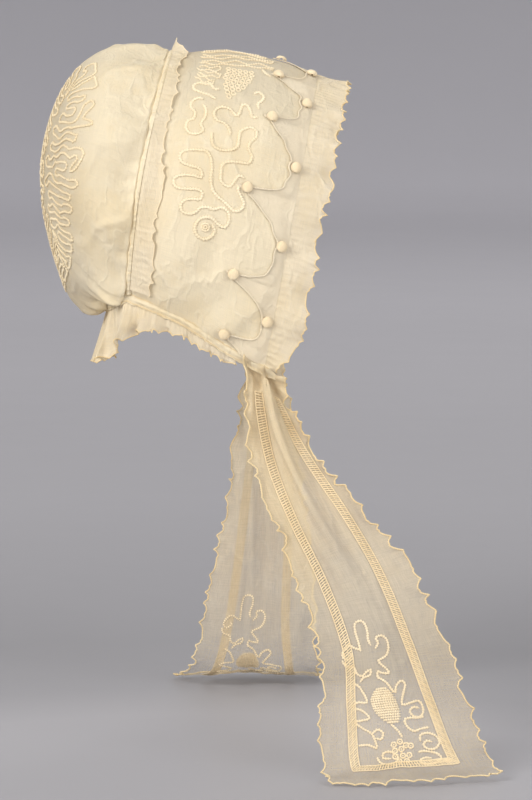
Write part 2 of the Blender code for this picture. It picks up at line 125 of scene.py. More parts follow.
# Share of the length; x, y and z of the middle line; width; depth of the pleats; the back and front borders
RIGHT_LAPPET = np.array((
    (0.000, 0.000, 0.000, 0.000, 0.27, 0.70, 0.40, 0.35),
    (0.104, 0.020, 0.040, -0.094, 0.35, 1.00, 0.50, 0.36),
    (0.206, 0.054, 0.081, -0.181, 0.44, 0.95, 0.56, 0.38),
    (0.337, 0.112, 0.129, -0.288, 0.54, 0.75, 0.64, 0.45),
    (0.504, 0.198, 0.190, -0.420, 0.70, 0.55, 0.80, 0.95),
    (0.670, 0.257, 0.248, -0.564, 0.77, 0.40, 0.88, 1.10),
    (0.793, 0.281, 0.295, -0.680, 0.87, 0.30, 0.90, 1.10),
    (0.907, 0.304, 0.333, -0.795, 0.97, 0.16, 0.96, 1.05),
    (1.000, 0.329, 0.415, -0.822, 1.00, 0.08, 1.00, 1.00),
))
LEFT_LAPPET = np.array((
    (0.000, 0.000, 0.000, 0.000, 0.27, 0.70, 0.40, 0.35),
    (0.104, 0.004, 0.017, -0.101, 0.35, 1.00, 0.50, 0.36),
    (0.206, 0.006, 0.033, -0.202, 0.43, 0.95, 0.56, 0.40),
    (0.337, 0.005, 0.050, -0.330, 0.53, 0.80, 0.64, 0.52),
    (0.504, -0.002, 0.069, -0.496, 0.66, 0.65, 0.80, 0.80),
    (0.670, -0.012, 0.089, -0.659, 0.76, 0.50, 0.88, 1.00),
    (0.793, -0.022, 0.128, -0.774, 0.86, 0.35, 0.90, 1.00),
    (0.907, -0.035, 0.220, -0.812, 0.96, 0.18, 0.96, 1.00),
    (1.000, -0.045, 0.312, -0.822, 1.00, 0.08, 1.00, 1.00),
))


def smooth(t):
    """From 0 to 1 with a soft start and end."""
    t = np.clip(t, 0.0, 1.0)
    return t * t * (3 - 2 * t)


def rows_at(table, share):
    """The rows of a table at shares of its first column, on a smooth curve through them."""
    share = np.asarray(share, float)
    last = len(table) - 1
    i = np.clip(np.searchsorted(table[:, 0], share, side="right") - 1, 0, last - 1)
    here, after = table[i], table[i + 1]
    before, beyond = table[np.maximum(i - 1, 0)], table[np.minimum(i + 2, last)]
    span = after[..., :1] - here[..., :1]
    t = (share[..., None] - here[..., :1]) / span
    leave = (after - before) / (after[..., :1] - before[..., :1]) * span
    arrive = (beyond - here) / (beyond[..., :1] - here[..., :1]) * span
    return (here * (1 + 2 * t) * (1 - t) ** 2 + leave * t * (1 - t) ** 2
            + after * t * t * (3 - 2 * t) - arrive * t * t * (1 - t))


def circle(count):
    return np.linspace(0, 2 * math.pi, count, endpoint=False)


def unit(v):
    return v / np.maximum(np.linalg.norm(v, axis=-1, keepdims=True), 1e-12)


def paired(u, v):
    return np.broadcast_arrays(np.asarray(u, float), np.asarray(v, float))


def bell(value, middle, width):
    return np.exp(-(((value - middle) / width) ** 2))


def uneven_wave(x, rate, sway, slow, shift=0):
    """A wave whose length comes and goes: sway says how much, and slow at what rate."""
    return np.sin(x * rate + sway * np.sin(x * slow + shift))


def panel_plain(along, down):
    """The panel's plain surface: along from the seam to the hem, down from the top to the right or left foot."""
    along, down = paired(along, down)
    r = rows_at(PANEL, along)
    half = math.pi - np.arcsin(r[..., 6] / r[..., 5])
    angle = np.abs(down) * half
    fall = (1 - np.cos(angle)) / (1 - np.cos(half))
    bow = SEAM_BOW * np.sin(math.pi * np.minimum(fall, 1)) * (1 - along)
    x = PANEL_LENGTH * (r[..., 1] + (r[..., 3] - r[..., 1]) * fall) - SEAM_SETBACK - bow
    y = np.sign(down) * HALF_WIDTH * r[..., 5] * np.sin(angle)
    z = CAP_HEIGHT * (r[..., 2] + (r[..., 4] - r[..., 2]) * fall)
    return np.stack((x, y, z), -1)


def normal_of(surface, u, v, step=0.004):
    a = surface(u + step, v) - surface(u - step, v)
    b = surface(u, v + step) - surface(u, v - step)
    return unit(np.cross(a, b))


def panel_normal(along, down):
    return normal_of(panel_plain, along, down)


def panel_point(along, down):
    """The panel with its dents."""
    along, down = paired(along, down)
    height = np.zeros(along.shape)
    for a, d, sa, sd, h in DENTS:
        far = ((along - a) / sa) ** 2 + ((np.abs(down) - d) / sd) ** 2
        height = height + PANEL_DENT * h * np.exp(-far) * smooth(along / 0.05)
    return panel_plain(along, down) + panel_normal(along, down) * height[..., None]


def nape_point(turn):
    """The neck edge round the nape, from the right corner at -1 to the left one at 1."""
    turn = np.asarray(turn, float)
    corner = panel_plain(0, 1)
    angle = turn * math.pi / 2
    back = np.cos(angle)
    drop = CAP_HEIGHT * (CROWN[0, 4] - PANEL[0, 4])
    x = corner[0] - NAPE_DEPTH * np.abs(back) ** 0.8
    return np.stack((x, corner[1] * np.sin(angle), corner[2] + drop * back), -1)


def rim_point(rim):
    """The rim that the crown is gathered to: the seam over the head, then the nape."""
    rim = np.asarray(rim, float)
    on_arch = panel_plain(np.zeros(rim.shape), np.clip(rim / ARCH_PART, -1, 1))
    turn = np.clip((1 - np.abs(rim)) / (1 - ARCH_PART), 0, 1) * np.where(rim < 0, -1, 1)
    return np.where((np.abs(rim) <= ARCH_PART)[..., None], on_arch, nape_point(turn))


def crown_oval(rim, back):
    r = rows_at(CROWN, back)
    angle = math.pi * rim
    tx, tz = r[..., 1] * CROWN_LENGTH, r[..., 2] * CAP_HEIGHT
    lx, lz = r[..., 3] * CROWN_LENGTH, r[..., 4] * CAP_HEIGHT
    c = np.cos(angle)
    x = (tx + lx) / 2 + (tx - lx) / 2 * c - SEAM_SETBACK
    z = (tz + lz) / 2 + (tz - lz) / 2 * c
    return np.stack((x, r[..., 5] * HALF_WIDTH * np.sin(angle), z), -1)


def crown_plain(rim, back):
    rim, back = paired(rim, back)
    rim = (rim + 1) % 2 - 1
    stray = rim_point(rim) - crown_oval(rim, np.zeros(rim.shape))
    return crown_oval(rim, back) + stray * (1 - smooth(back / 0.5))[..., None]


def crown_normal(rim, back):
    return normal_of(crown_plain, rim, back)


def insertion_edges():
    """The outer and inner edge of the drawn-thread band, as shares of the flat half width."""
    outer = 1 - 2 * LAPPET_BORDER / LAPPET_WIDTH
    return outer, outer - 2 * INSERTION_WIDTH / LAPPET_WIDTH


def spread_across(row, across):
    """Where places across the flat lappet lie on the folded one, as shares of its half width there."""
    half = row[..., 4] * LAPPET_WIDTH / 2
    border = LAPPET_BORDER * np.where(across > 0, row[..., 7], row[..., 6])
    outer, inner = insertion_edges()
    fold_in, fold_out = 1 - (border + INSERTION_WIDTH) / half, 1 - border / half
    place = np.abs(across)
    middle = place / inner * fold_in
    band = fold_in + (fold_out - fold_in) * (place - inner) / (outer - inner)
    edge = fold_out + (1 - fold_out) * (place - outer) / (1 - outer)
    share = np.where(place < inner, middle, np.where(place < outer, band, np.where(place < 1, edge, place)))
    return np.sign(across) * share


def lappet_plain(table, side, across, along):
    """A lappet's plain surface. across runs over its width from -1 to 1, along from its top to its end."""
    across, along = paired(across, along)
    row, near, far = rows_at(table, along), rows_at(table, along - 0.01), rows_at(table, along + 0.01)
    corner = panel_plain(1, side)
    root = corner - UP * (NECK_CASING_RADIUS + CLEARANCE + CLOTH)
    turn = np.array((1.0, side, 1.0))
    path = row[..., 1:4] * turn * LAPPET_LENGTH
    run = unit((far[..., 1:4] - near[..., 1:4]) * turn)
    casing_run = unit(corner - panel_plain(0.8, side))
    hang = (1 - smooth(along / 0.1))[..., None]
    wide = unit(FORWARD - run * run[..., :1] * 0.5)
    wide = unit(wide * (1 - hang) + casing_run * hang)
    face = unit(np.cross(wide, run)) * side
    pleat = PLEAT_DEPTH * row[..., 5] * np.cos(2 * math.pi * across / sum(insertion_edges()))
    reach = spread_across(row, across) * row[..., 4] * LAPPET_WIDTH / 2
    bow = across**2 * smooth((along - 0.8) / 0.2) * END_BOW
    return root + path + wide * reach[..., None] + face * pleat[..., None] - bow[..., None] * np.array((0.0, side, 0.0))


def ripple(points, size, seed):
    """Smooth noise from -1 to 1 or so: waves of about the given size in many directions."""
    waves = 8
    rng = np.random.default_rng(seed)
    total = np.zeros(points.shape[:-1])
    for _ in range(waves):
        direction = unit(rng.normal(size=3))
        length = size * rng.uniform(0.6, 1.7)
        total += np.sin(points @ direction * 2 * math.pi / length + rng.uniform(0, 2 * math.pi))
    return total / math.sqrt(waves)


def arc_of(points):
    """Distance along a line of points."""
    steps = np.linalg.norm(np.diff(points, axis=0), axis=1)
    return np.concatenate(([0.0], np.cumsum(steps)))


def chance(number, seed):
    """A repeatable share from 0 to 1 for a whole number."""
    return np.abs(np.sin(number * 12.9898 + seed * 4.137) * 43758.5453) % 1


def pointed(teeth, depth, seed=0):
    """What a dagged edge loses at its teeth-th tooth: sharp points of uneven height, with hollows between."""
    teeth = np.asarray(teeth, float)
    uneven = teeth + 0.26 * np.sin(1.9 * teeth + seed) + 0.09 * np.sin(4.7 * teeth + 2 * seed)
    tooth = np.floor(uneven)
    share = uneven - tooth
    tip = chance(tooth, seed) * (1 - share) + chance(tooth + 1, seed) * share
    hollow = 0.38 + 0.62 * chance(tooth, seed + 9)
    nick = 0.16 * np.exp(-(((share - 0.35 - 0.3 * chance(tooth, seed + 5)) / 0.07) ** 2))
    return depth * (0.30 * tip + hollow * np.sin(math.pi * share) ** 0.75 - nick)


def fill_mesh(name, points, quads, uvs, material, triangles=None):
    mesh = bpy.data.meshes.new(name)
    faces = quads.tolist() + (triangles.tolist() if triangles is not None else [])
    mesh.from_pydata(points.tolist(), [], faces)
    if uvs is not None:
        layer = mesh.uv_layers.new(name="cloth")
        corners = np.empty(len(mesh.loops), dtype=np.int64)
        mesh.loops.foreach_get("vertex_index", corners)
        layer.data.foreach_set("uv", uvs[corners].ravel())
    mesh.polygons.foreach_set("use_smooth", np.ones(len(mesh.polygons), dtype=bool))
    mesh.materials.append(material)
    mesh.validate()
    mesh.update()
    made = bpy.data.objects.new(name, mesh)
    bpy.context.scene.collection.objects.link(made)
    return made


def grid_quads(rows, columns, closed):
    index = np.arange(rows * columns).reshape(rows, columns)
    if closed:
        index = np.concatenate((index, index[:, :1]), axis=1)
    return np.stack((index[:-1, :-1], index[:-1, 1:], index[1:, 1:], index[1:, :-1]), -1).reshape(-1, 4)


def sheet_object(name, grid, material, closed=False):
    """Cloth through a grid of points, with flat coordinates in metres for its weave."""
    rows, columns = grid.shape[:2]
    u = np.broadcast_to(arc_of(grid[rows // 2])[None, :], (rows, columns))
    v = np.broadcast_to(arc_of(grid[:, columns // 2])[:, None], (rows, columns))
    uvs = np.stack((u, v), -1).reshape(-1, 2)
    return fill_mesh(name, grid.reshape(-1, 3), grid_quads(rows, columns, closed), uvs, material)


def joined(name, parts, material):
    """Many small shapes as one mesh. Each part is (points, quads, triangles, flat coordinates or None)."""
    points, quads, triangles, uvs = zip(*parts)
    starts = np.cumsum([0] + [len(part) for part in points])
    quads, triangles = (
        np.concatenate([faces + start for faces, start in zip(kind, starts)]) for kind in (quads, triangles)
    )
    uvs = None if uvs[0] is None else np.concatenate(uvs)
    return fill_mesh(name, np.concatenate(points), quads, uvs, material, triangles)


def tube_faces(count, sides):
    """The quads of a tube of count rings, and the triangles that close its two ends."""
    ring = np.arange(sides)
    base = np.arange(count - 1)[:, None] * sides
    a, b = base + ring, base + (ring + 1) % sides
    quads = np.stack((a, b, b + sides, a + sides), -1).reshape(-1, 4)
    fan = np.stack((ring[2:] * 0, ring[1:-1], ring[2:]), -1)
    return quads, np.vstack((fan[:, ::-1], fan + (count - 1) * sides))


def threads(name, lines, material, sides=6, flat=1.0):
    """Threads as one mesh, flattened onto the cloth by a share. Each line is (points, normals, radii)."""
    turn = circle(sides)
    parts = []
    for points, normals, radii in lines:
        count = len(points)
        tangent = unit(np.gradient(points, axis=0))
        beside = unit(np.cross(tangent, normals))
        above = np.cross(beside, tangent)
        radii = np.broadcast_to(np.asarray(radii, float), (count,))
        ring = beside[:, None] * np.cos(turn)[:, None] + above[:, None] * np.sin(turn)[:, None] * flat
        skin = (points[:, None] + ring * radii[:, None, None]).reshape(-1, 3)
        along = np.broadcast_to(arc_of(points)[:, None], (count, sides))
        round_it = np.broadcast_to(turn * 0.5 * MM, (count, sides))
        parts.append((skin, *tube_faces(count, sides), np.stack((along, round_it), -1).reshape(-1, 2)))
    return joined(name, parts, material)


def through(places):
    """A smooth line through flat places, in 12 steps from each one to the next."""
    numbered = np.column_stack((np.arange(len(places)), places))
    return rows_at(numbered, np.arange(12 * len(places) - 11) / 12)[:, 1:]


def resampled(at, arc, values):
    """Values per point of a line, read at places along its arc."""
    return np.stack([np.interp(at, arc, column) for column in values.T], -1)


def evenly(step, line, *others):
    """A line at even steps, with any other values per point carried along."""
    arc = arc_of(line)
    at = np.linspace(0, arc[-1], max(int(arc[-1] / step), 2) + 1)
    return [resampled(at, arc, values) for values in (line, *others)]


def beaded(points, normals, radius, pitch, waist):
    """A knotted cord: it swells at each stitch, with a waist between, and thins at its ends."""
    points, normals = evenly(pitch / 4, points, normals)
    step = np.arange(len(points))
    swell = np.abs(np.sin(math.pi * step / 4))
    uneven = 1 + 0.07 * np.sin(step * 0.61) + 0.05 * np.sin(step * 0.23 + 1)
    ends = np.clip(np.minimum(step, step[::-1]) / 3, 0.35, 1)
    return points, unit(normals), radius * uneven * ends * (waist + (1.04 - waist) * swell)


def whipped(points, normals, radius=0.42 * MM, pitch=1.0 * MM):
    """The whip-stitched thread on a raw edge."""
    points, normals = evenly(pitch / 3, points, normals)
    swell = (np.arange(len(points)) % 3 == 1).astype(float)
    return points, unit(normals), radius * (0.8 + 0.4 * swell)


def grid_normals(grid):
    return unit(np.cross(np.gradient(grid, axis=0), np.gradient(grid, axis=1)))


def knots(name, places, normals, radius, material):
    """Small round knots as one mesh, a little flattened."""
    rings, sides = 5, 8
    polar = np.linspace(0, math.pi, rings + 1)[:, None]
    turn = circle(sides)
    ball = np.sin(polar) * np.cos(turn), np.sin(polar) * np.sin(turn), np.cos(polar) + turn * 0
    ball = np.stack(ball, -1).reshape(-1, 3)
    here = np.arange(sides)
    after = (here + 1) % sides
    last = (rings - 1) * sides
    quads = np.vstack([
        np.stack((k + here, k + sides + here, k + sides + after, k + after), -1) for k in range(sides, last, sides)
    ])
    top = np.stack((here * 0, sides + here, sides + after), -1)
    foot = np.stack((last + here, here * 0 + rings * sides, last + after), -1)
    parts = []
    for place, normal in zip(places, normals):
        side = unit(np.cross(normal, (0.31, 0.52, 0.79)))
        turned = ball[:, :1] * side + ball[:, 1:2] * np.cross(normal, side) + ball[:, 2:] * normal * 0.8
        parts.append((place + turned * radius, quads, np.vstack((top, foot)), None))
    return joined(name, parts, material)


class Nodes:
    """Short calls for building a material's node tree."""

    def __init__(self, name):
        self.material = bpy.data.materials.new(name)
        self.material.use_nodes = True
        self.tree = self.material.node_tree
        self.shader = self.tree.nodes["Principled BSDF"]

    def add(self, kind, inputs=(), **settings):
        node = self.tree.nodes.new(kind)
        for key, value in settings.items():
            setattr(node, key, value)
        for key, value in dict(inputs).items():
            if isinstance(value, bpy.types.NodeSocket):
                self.tree.links.new(value, node.inputs[key])
            else:
                node.inputs[key].default_value = value
        return node

    def math(self, operation, a, b=0.0):
        return self.add("ShaderNodeMath", {0: a, 1: b}, operation=operation).outputs[0]

    def ranged(self, value, low, high, new_low, new_high):
        sockets = {"Value": value, 1: low, 2: high, 3: new_low, 4: new_high}
        return self.add("ShaderNodeMapRange", sockets).outputs[0]

    def noise(self, vector, scale, detail=3.0, roughness=0.5):
        sockets = {"Vector": vector, "Scale": scale, "Detail": detail, "Roughness": roughness}
        return self.add("ShaderNodeTexNoise", sockets).outputs["Fac"]

    def stretched(self, vector, size):
        return self.add("ShaderNodeMapping", {"Vector": vector, "Scale": size}).outputs[0]

    def mix(self, factor, a, b):
        return self.add("ShaderNodeMix", {0: factor, 6: a, 7: b}, data_type="RGBA").outputs[2]

    def weighted(self, *pairs):
        """The sum of sockets, each times its weight."""
        total = None
        for value, weight in pairs:
            part = self.math("MULTIPLY", value, weight)
            total = self.math("ADD", total, part) if total else part
        return total

    def link(self, value, name):
        self.tree.links.new(value, self.shader.inputs[name])

    def bump(self, height, distance, strength):
        node = self.add("ShaderNodeBump", {"Height": height, "Distance": distance, "Strength": strength})
        self.link(node.outputs[0], "Normal")

    def finish(self, values):
        for name, value in values.items():
            self.shader.inputs[name].default_value = value
        return self.material


WEAVE_PITCH = 0.5 * MM


def muslin(name, light, aged, alpha, open_weave, ageing, denser=None, sheerer=None):
    """Sheer plain weave. alpha is its cover; open_weave is how far that falls between the threads.

    denser is (metres down the cloth, added cover at its start); sheerer is (axis, from, to, lost cover).
    """
    n = Nodes(name)
    cloth = n.add("ShaderNodeUVMap", uv_map="cloth").outputs[0]
    place = n.add("ShaderNodeTexCoord").outputs["Object"]
    split = n.add("ShaderNodeSeparateXYZ", {0: cloth})
    warp, weft = (
        n.math("SINE", n.math("MULTIPLY", split.outputs[k], 2 * math.pi / WEAVE_PITCH)) for k in (0, 1)
    )
    weave = n.math("MAXIMUM", warp, weft)
    slubs = [n.noise(n.stretched(cloth, size), 1.0, 2.0) for size in ((2600.0, 90.0, 1.0), (90.0, 2600.0, 1.0))]
    slub = n.math("MULTIPLY", n.math("ADD", *slubs), 0.5)
    clouds = n.noise(place, 22.0, 4.0, 0.6)
    stains = n.noise(place, 60.0, 3.0, 0.65)
    tint = n.math("ADD", n.ranged(clouds, 0.40, 0.62, 0.0, ageing), n.ranged(stains, 0.55, 0.75, 0.0, ageing * 0.35))
    tint = n.math("ADD", tint, n.ranged(slub, 0.35, 0.65, -0.10, 0.12))
    cover = n.ranged(slub, 0.36, 0.64, alpha - open_weave * 0.6, alpha + open_weave * 0.6)
    cover = n.math("ADD", cover, n.ranged(weave, -1.0, 1.0, -open_weave * 0.5, open_weave * 0.25))
    cover = n.math("ADD", cover, n.ranged(n.noise(place, 34.0, 2.0), 0.3, 0.7, -open_weave * 0.3, open_weave * 0.3))
    if denser:
        cover = n.math("ADD", cover, n.ranged(split.outputs[1], 0.0, denser[0], denser[1], 0.0))
    if sheerer:
        across = n.add("ShaderNodeSeparateXYZ", {0: place}).outputs[sheerer[0]]
        cover = n.math("SUBTRACT", cover, n.ranged(across, *sheerer[1:3], 0.0, sheerer[3]))
    cover = n.math("MINIMUM", n.math("MAXIMUM", cover, 0.05), 1.0)
    n.link(cover, "Alpha")
    # Sharp creases lie where a slow noise crosses its middle; fine crumpling lies all over
    bent = n.stretched(place, (1.0, 0.8, 0.55))
    creases = []
    for scale in (26.0, 55.0):
        off = n.math("ABSOLUTE", n.math("SUBTRACT", n.noise(bent, scale, 3.0, 0.55), 0.5))
        creases.append(n.ranged(off, 0.0, 0.035, 1.0, 0.0))
    crease = n.math("ADD", creases[0], n.math("MULTIPLY", creases[1], 0.6))
    # The creases are also painted paler in the colour: a painted highlight along their ridges
    n.link(n.mix(n.math("SUBTRACT", tint, n.math("MULTIPLY", crease, 0.24)), (*light, 1), (*aged, 1)), "Base Color")
    crumple = n.noise(place, 420.0, 5.0, 0.6)
    n.bump(n.weighted((slub, 0.5), (crumple, 0.7), (weave, 0.12), (crease, 0.72)), 1.0 * MM, 0.75)
    n.link(n.ranged(clouds, 0.3, 0.7, 0.78, 0.92), "Roughness")
    return n.finish({"Sheen Weight": 0.12, "Sheen Roughness": 0.5, "Specular IOR Level": 0.2})


def thread(name, light, aged):
    """Cotton thread: fine fibres, with aged patches."""
    n = Nodes(name)
    place = n.add("ShaderNodeTexCoord").outputs["Object"]
    clouds = n.noise(place, 30.0, 4.0, 0.6)
    fibre = n.noise(place, 2500.0, 2.0, 0.7)
    tint = n.math("ADD", n.ranged(clouds, 0.35, 0.7, 0.0, 0.7), n.ranged(fibre, 0.3, 0.7, -0.15, 0.3))
    n.link(n.mix(tint, (*light, 1), (*aged, 1)), "Base Color")
    n.bump(n.math("ADD", n.math("MULTIPLY", fibre, 0.6), n.noise(place, 1200.0, 3.0)), 0.4 * MM, 0.8)
    n.link(n.ranged(fibre, 0.2, 0.8, 0.6, 0.8), "Roughness")
    return n.finish({"Sheen Weight": 0.2, "Specular IOR Level": 0.35})


IVORY = (0.94, 0.82, 0.595)
HONEY = (0.86, 0.69, 0.41)
cap_cloth = muslin("cap_muslin", IVORY, HONEY, 0.90, 0.08, 0.40, sheerer=(2, -0.045, 0.002, 0.26))
crown_cloth = muslin("crown_muslin", IVORY, HONEY, 0.93, 0.07, 0.5, sheerer=(0, -0.054, -0.080, 0.27))
facing_cloth = muslin("facing_muslin", (0.99, 0.86, 0.64), (0.95, 0.79, 0.54), 0.95, 0.04, 0.4)
frill_cloth = muslin("frill_muslin", (0.96, 0.83, 0.61), HONEY, 0.84, 0.09, 0.45)
lappet_cloth = muslin("lappet_muslin", (0.87, 0.72, 0.48), (0.77, 0.60, 0.36), 0.35, 0.13, 0.5, denser=(0.20, 0.56))
casing_cloth = muslin("casing_muslin", IVORY, HONEY, 0.97, 0.04, 0.6)
white_thread = thread("embroidery_thread", (0.97, 0.85, 0.62), (0.87, 0.71, 0.45))
ground_thread = thread("vermicelli_thread", (0.94, 0.80, 0.55), (0.82, 0.65, 0.39))
satin_thread = thread("dot_thread", (0.95, 0.81, 0.57), (0.84, 0.67, 0.42))
edge_thread = thread("edge_thread", (0.90, 0.73, 0.44), (0.76, 0.56, 0.28))
ladder_thread = thread("ladder_thread", (0.93, 0.77, 0.51), (0.80, 0.61, 0.34))


def finished(piece, slot, *nodes):
    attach(piece, "root")
    if nodes:
        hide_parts(*nodes)
    return piece


def ridges(points, size, seed, sharpness):
    """Creases, from 0 to 1: they lie where a smooth noise crosses its middle."""
    return np.clip(1 - sharpness * np.abs(ripple(points, size, seed)), 0, 1)


# Front panel
PANEL_ROWS, PANEL_COLUMNS = 84, 280


def arch_length(along):
    points = panel_plain(np.full(25, float(along)), np.linspace(0, 1, 25))
    return arc_of(points)[-1]


def free_arch(along, gap=NECK_CASING_RADIUS + CLEARANCE):
    """The share of the arch, from the top down, that is left above a gap at its foot."""
    return 1 - gap / arch_length(along)


def panel_skin(along, down, lift=0.0):
    """The panel as cloth: its dents, the puckers of the seam, soft wrinkles and the pull to the lappets."""
    point = panel_point(along, down)
    along, down = paired(along, down)
    from_seam = along * PANEL_LENGTH
    pucker = uneven_wave(down, 330, 2.2, 41) * np.exp(-from_seam / (4 * MM)) * 0.10 * MM
    wrinkle = ripple(point, 42 * MM, 3) * 0.45 * MM
    crease = ridges(point * (1.0, 1.0, 0.35), 30 * MM, 8, 2.4) * 0.55 * MM
    corner = smooth((np.abs(down) - 0.66) / 0.3) * smooth((along - 0.15) / 0.5)
    pull = np.sin((np.abs(down) * 2.0 + along * 0.9) * 21) * corner * 0.8 * MM
    fade = smooth((1 - along) / 0.06)
    height = pucker + (wrinkle + crease + pull) * fade + lift
    return point + panel_normal(along, down) * height[..., None]


along = np.linspace(0, 1, PANEL_ROWS)[:, None]
down = np.linspace(-1, 1, PANEL_COLUMNS)[None, :]
reach = np.array([free_arch(a) for a in along[:, 0]])[:, None]
inset = (SEAM_CORD_RADIUS + CLEARANCE) / PANEL_LENGTH * (1 - smooth(along / 0.3))
grid = panel_skin(along + inset, down * reach)
panel = finished(sheet_object("front_panel_cloth", grid, cap_cloth), "muslin", "front_panel")

# Crown
SEAM_RINGS, BACK_RINGS, CROWN_ARCH, CROWN_NAPE = 50, 46, 320, 110


def crown_skin(rim, back, lift=0.0):
    """The crown as cloth: broad folds from the gathers, fine gathers at its edge, and creases that fan out."""
    point = crown_plain(rim, back)
    rim, back = paired(rim, back)
    at_nape = smooth((np.abs(rim) - ARCH_PART * 0.94) / 0.08)
    gather = (back / 0.14 * np.exp(1 - back / 0.14)) ** 2
    fold = np.cos(math.pi * CROWN_FOLDS * rim + 1.2 * back) - 0.5
    fold = fold * gather * CROWN_FOLD * (0.58 + 0.32 * at_nape)
    phase = 1.6 * np.sin(math.pi * rim * 5 + 1.0) + 0.9 * np.sin(math.pi * rim * 13)
    fine = np.sin(math.pi * rim * 46 + phase) * (0.45 + 0.9 * at_nape) * MM
    fine = fine * bell(back, 0.04, 0.06 + 0.10 * at_nape) * smooth(back / 0.02)
    middle = np.sin(math.pi * rim * 23 + 2 * phase) * (0.35 + 0.6 * at_nape) * MM * bell(back, 0.12, 0.12)
    roll = 0.6 * MM * bell(back, 0.035, 0.022) * (1 - at_nape)
    soft = ripple(point * (0.8, 1.0, 0.5), 34 * MM, 21) * 0.45 * MM * smooth(back / 0.1)
    fan = np.stack((rim * 0.5 + back * 0.10, back * 0.16, rim * 0), -1)
    crease = ridges(fan, 0.085, 27, 2.2) * 1.15 * MM
    crease = crease * smooth(back / 0.05) * (1 - smooth((back - 0.34) / 0.20))
    far = np.clip((1 - back) / 0.08, 0, 1)
    height = fold + fine + roll + (middle + soft * far + crease) + lift
    return point + crown_normal(rim, back) * height[..., None]


corner_reach = ARCH_PART * free_arch(0)
over_head = np.linspace(-corner_reach, corner_reach, CROWN_ARCH)
round_nape = np.linspace(corner_reach, 2 - corner_reach, CROWN_NAPE)[1:-1]
rims = (np.concatenate((over_head, round_nape)) + 1) % 2 - 1
backs = np.concatenate((np.linspace(0, 0.3, SEAM_RINGS, endpoint=False), np.linspace(0.3, 0.985, BACK_RINGS)))
grid = crown_skin(rims[None, :], backs[:, None])
near_casing = smooth((np.abs(rims) / ARCH_PART - 0.955) / 0.03)[None, :, None]
at_cord = SEAM_CORD_RADIUS * 0.85
clear = at_cord + (NECK_CASING_RADIUS + CLEARANCE - at_cord) * near_casing
onwards = unit(grid[12] - grid[0])[None]
grid = grid + onwards * clear * (1 - smooth(backs / 0.05))[:, None, None]
tip = crown_plain(0.0, 1.0)
closing = np.broadcast_to(tip, (1, *grid.shape[1:])) * 0.97 + grid[-1:] * 0.03
grid = np.concatenate((grid, closing))
crown = finished(sheet_object("crown_cloth", grid, crown_cloth, closed=True), "muslin", "crown")

# Cord in the seam, and the casing of the drawstring
SEAM_SAMPLES = 900
reach = free_arch(0, NECK_CASING_RADIUS + SEAM_CORD_RADIUS * 0.2 + CLEARANCE)
down = np.linspace(-reach, reach, SEAM_SAMPLES)
points = panel_plain(np.zeros(SEAM_SAMPLES), down)
normals = panel_normal(np.zeros(SEAM_SAMPLES), down)
tucks = 1 + 0.05 * np.sin(np.arange(SEAM_SAMPLES) * 0.83) + 0.04 * np.sin(np.arange(SEAM_SAMPLES) * 0.31)
piping = threads("seam_piping", [(points, normals, SEAM_CORD_RADIUS * 1.12 * tucks)], casing_cloth, 12)
finished(piping, "cord", "seam_cord")
overcast = []
for k in range(6, SEAM_SAMPLES - 6, 14):
    n, t = normals[k], unit(points[k + 1] - points[k - 1])
    b = np.cross(t, n)
    turn = np.linspace(-1.3, 1.3, 7)[:, None]
    ring = points[k] + (n * np.cos(turn) + b * np.sin(turn)) * SEAM_CORD_RADIUS * 1.08 + t * turn * 0.7 * MM
    overcast.append((ring, unit(ring - points[k]), 0.11 * MM))
finished(threads("seam_overcasting", overcast, edge_thread, 5), "cord")

nape = nape_point(np.linspace(-1, 1, 90)[1:-1])
side_run = panel_plain(np.linspace(1, 0, 120), np.full(120, -1.0))
ahead = unit(side_run[0] - panel_plain(0.9, -1.0))
lead = side_run[0] + ahead * np.linspace(LAPPET_TOP_WIDTH * 0.35, 0.4 * MM, 12)[:, None]
right_side = np.vstack((lead, side_run))
mirrored = right_side[::-1] * np.array((1, -1, 1))
neck_line = evenly(0.5 * MM, np.vstack((right_side, nape, mirrored)))[0]
neck_out = unit(neck_line * np.array((1.0, 1.0, 0.0)) + np.array((0.01, 0, 0)))
along_neck = arc_of(neck_line)
from_end = np.minimum(along_neck, along_neck[-1] - along_neck)
puckers = 1 + 0.05 * uneven_wave(along_neck, 2 * math.pi / (7.3 * MM), 1.5, 190)
puckers += 0.04 * uneven_wave(along_neck, 2 * math.pi / (3.1 * MM), 2, 310)
puckers *= 0.45 + 0.55 * smooth(from_end / (9 * MM))
turn = circle(24)
# The casing is a flat band, taller than it is thick
thick = 0.25 + np.cos(turn) * 0.55 + 0.16 * np.cos(5 * turn)
tall = 0.25 + np.sin(turn) * 1.45
around = neck_out[:, None] * thick[:, None] + UP * tall[:, None]
crinkle = 1 + 0.10 * np.sin(3 * turn + along_neck[:, None] * 300) * np.sin(along_neck[:, None] * 610 + turn)
band = neck_line[:, None] + around * (NECK_CASING_RADIUS * puckers[:, None] * crinkle)[..., None]
finished(sheet_object("neck_casing_cloth", band, casing_cloth, closed=True), "muslin", "neck_casing")
stitch_rows = []
for height in (-0.75, 0.75):
    offset = neck_out * (0.30 + math.cos(height) * 0.55) + UP * (0.25 + math.sin(height) * 1.45)
    line = neck_line + offset * (NECK_CASING_RADIUS * puckers)[:, None]
    stitch_rows.append(whipped(line[14:-14], unit(offset)[14:-14], 0.19 * MM, 1.8 * MM))
finished(threads("casing_stitching", stitch_rows, edge_thread, 5), "muslin")

# Facing: a second layer in narrow points along the hem, its edge rolled over a fine cord
INNER_DOTS = (0.0, 0.19, 0.38, 0.585, 0.80, 0.955)
OUTER_DOTS = (0.095, 0.285, 0.50, 0.70, 0.88)
SKIN_LIFT = 0.6 * MM


def tip_depth(dot):
    return FACING_DEPTH * (1 + 0.24 * smooth((dot - 0.38) / 0.2))


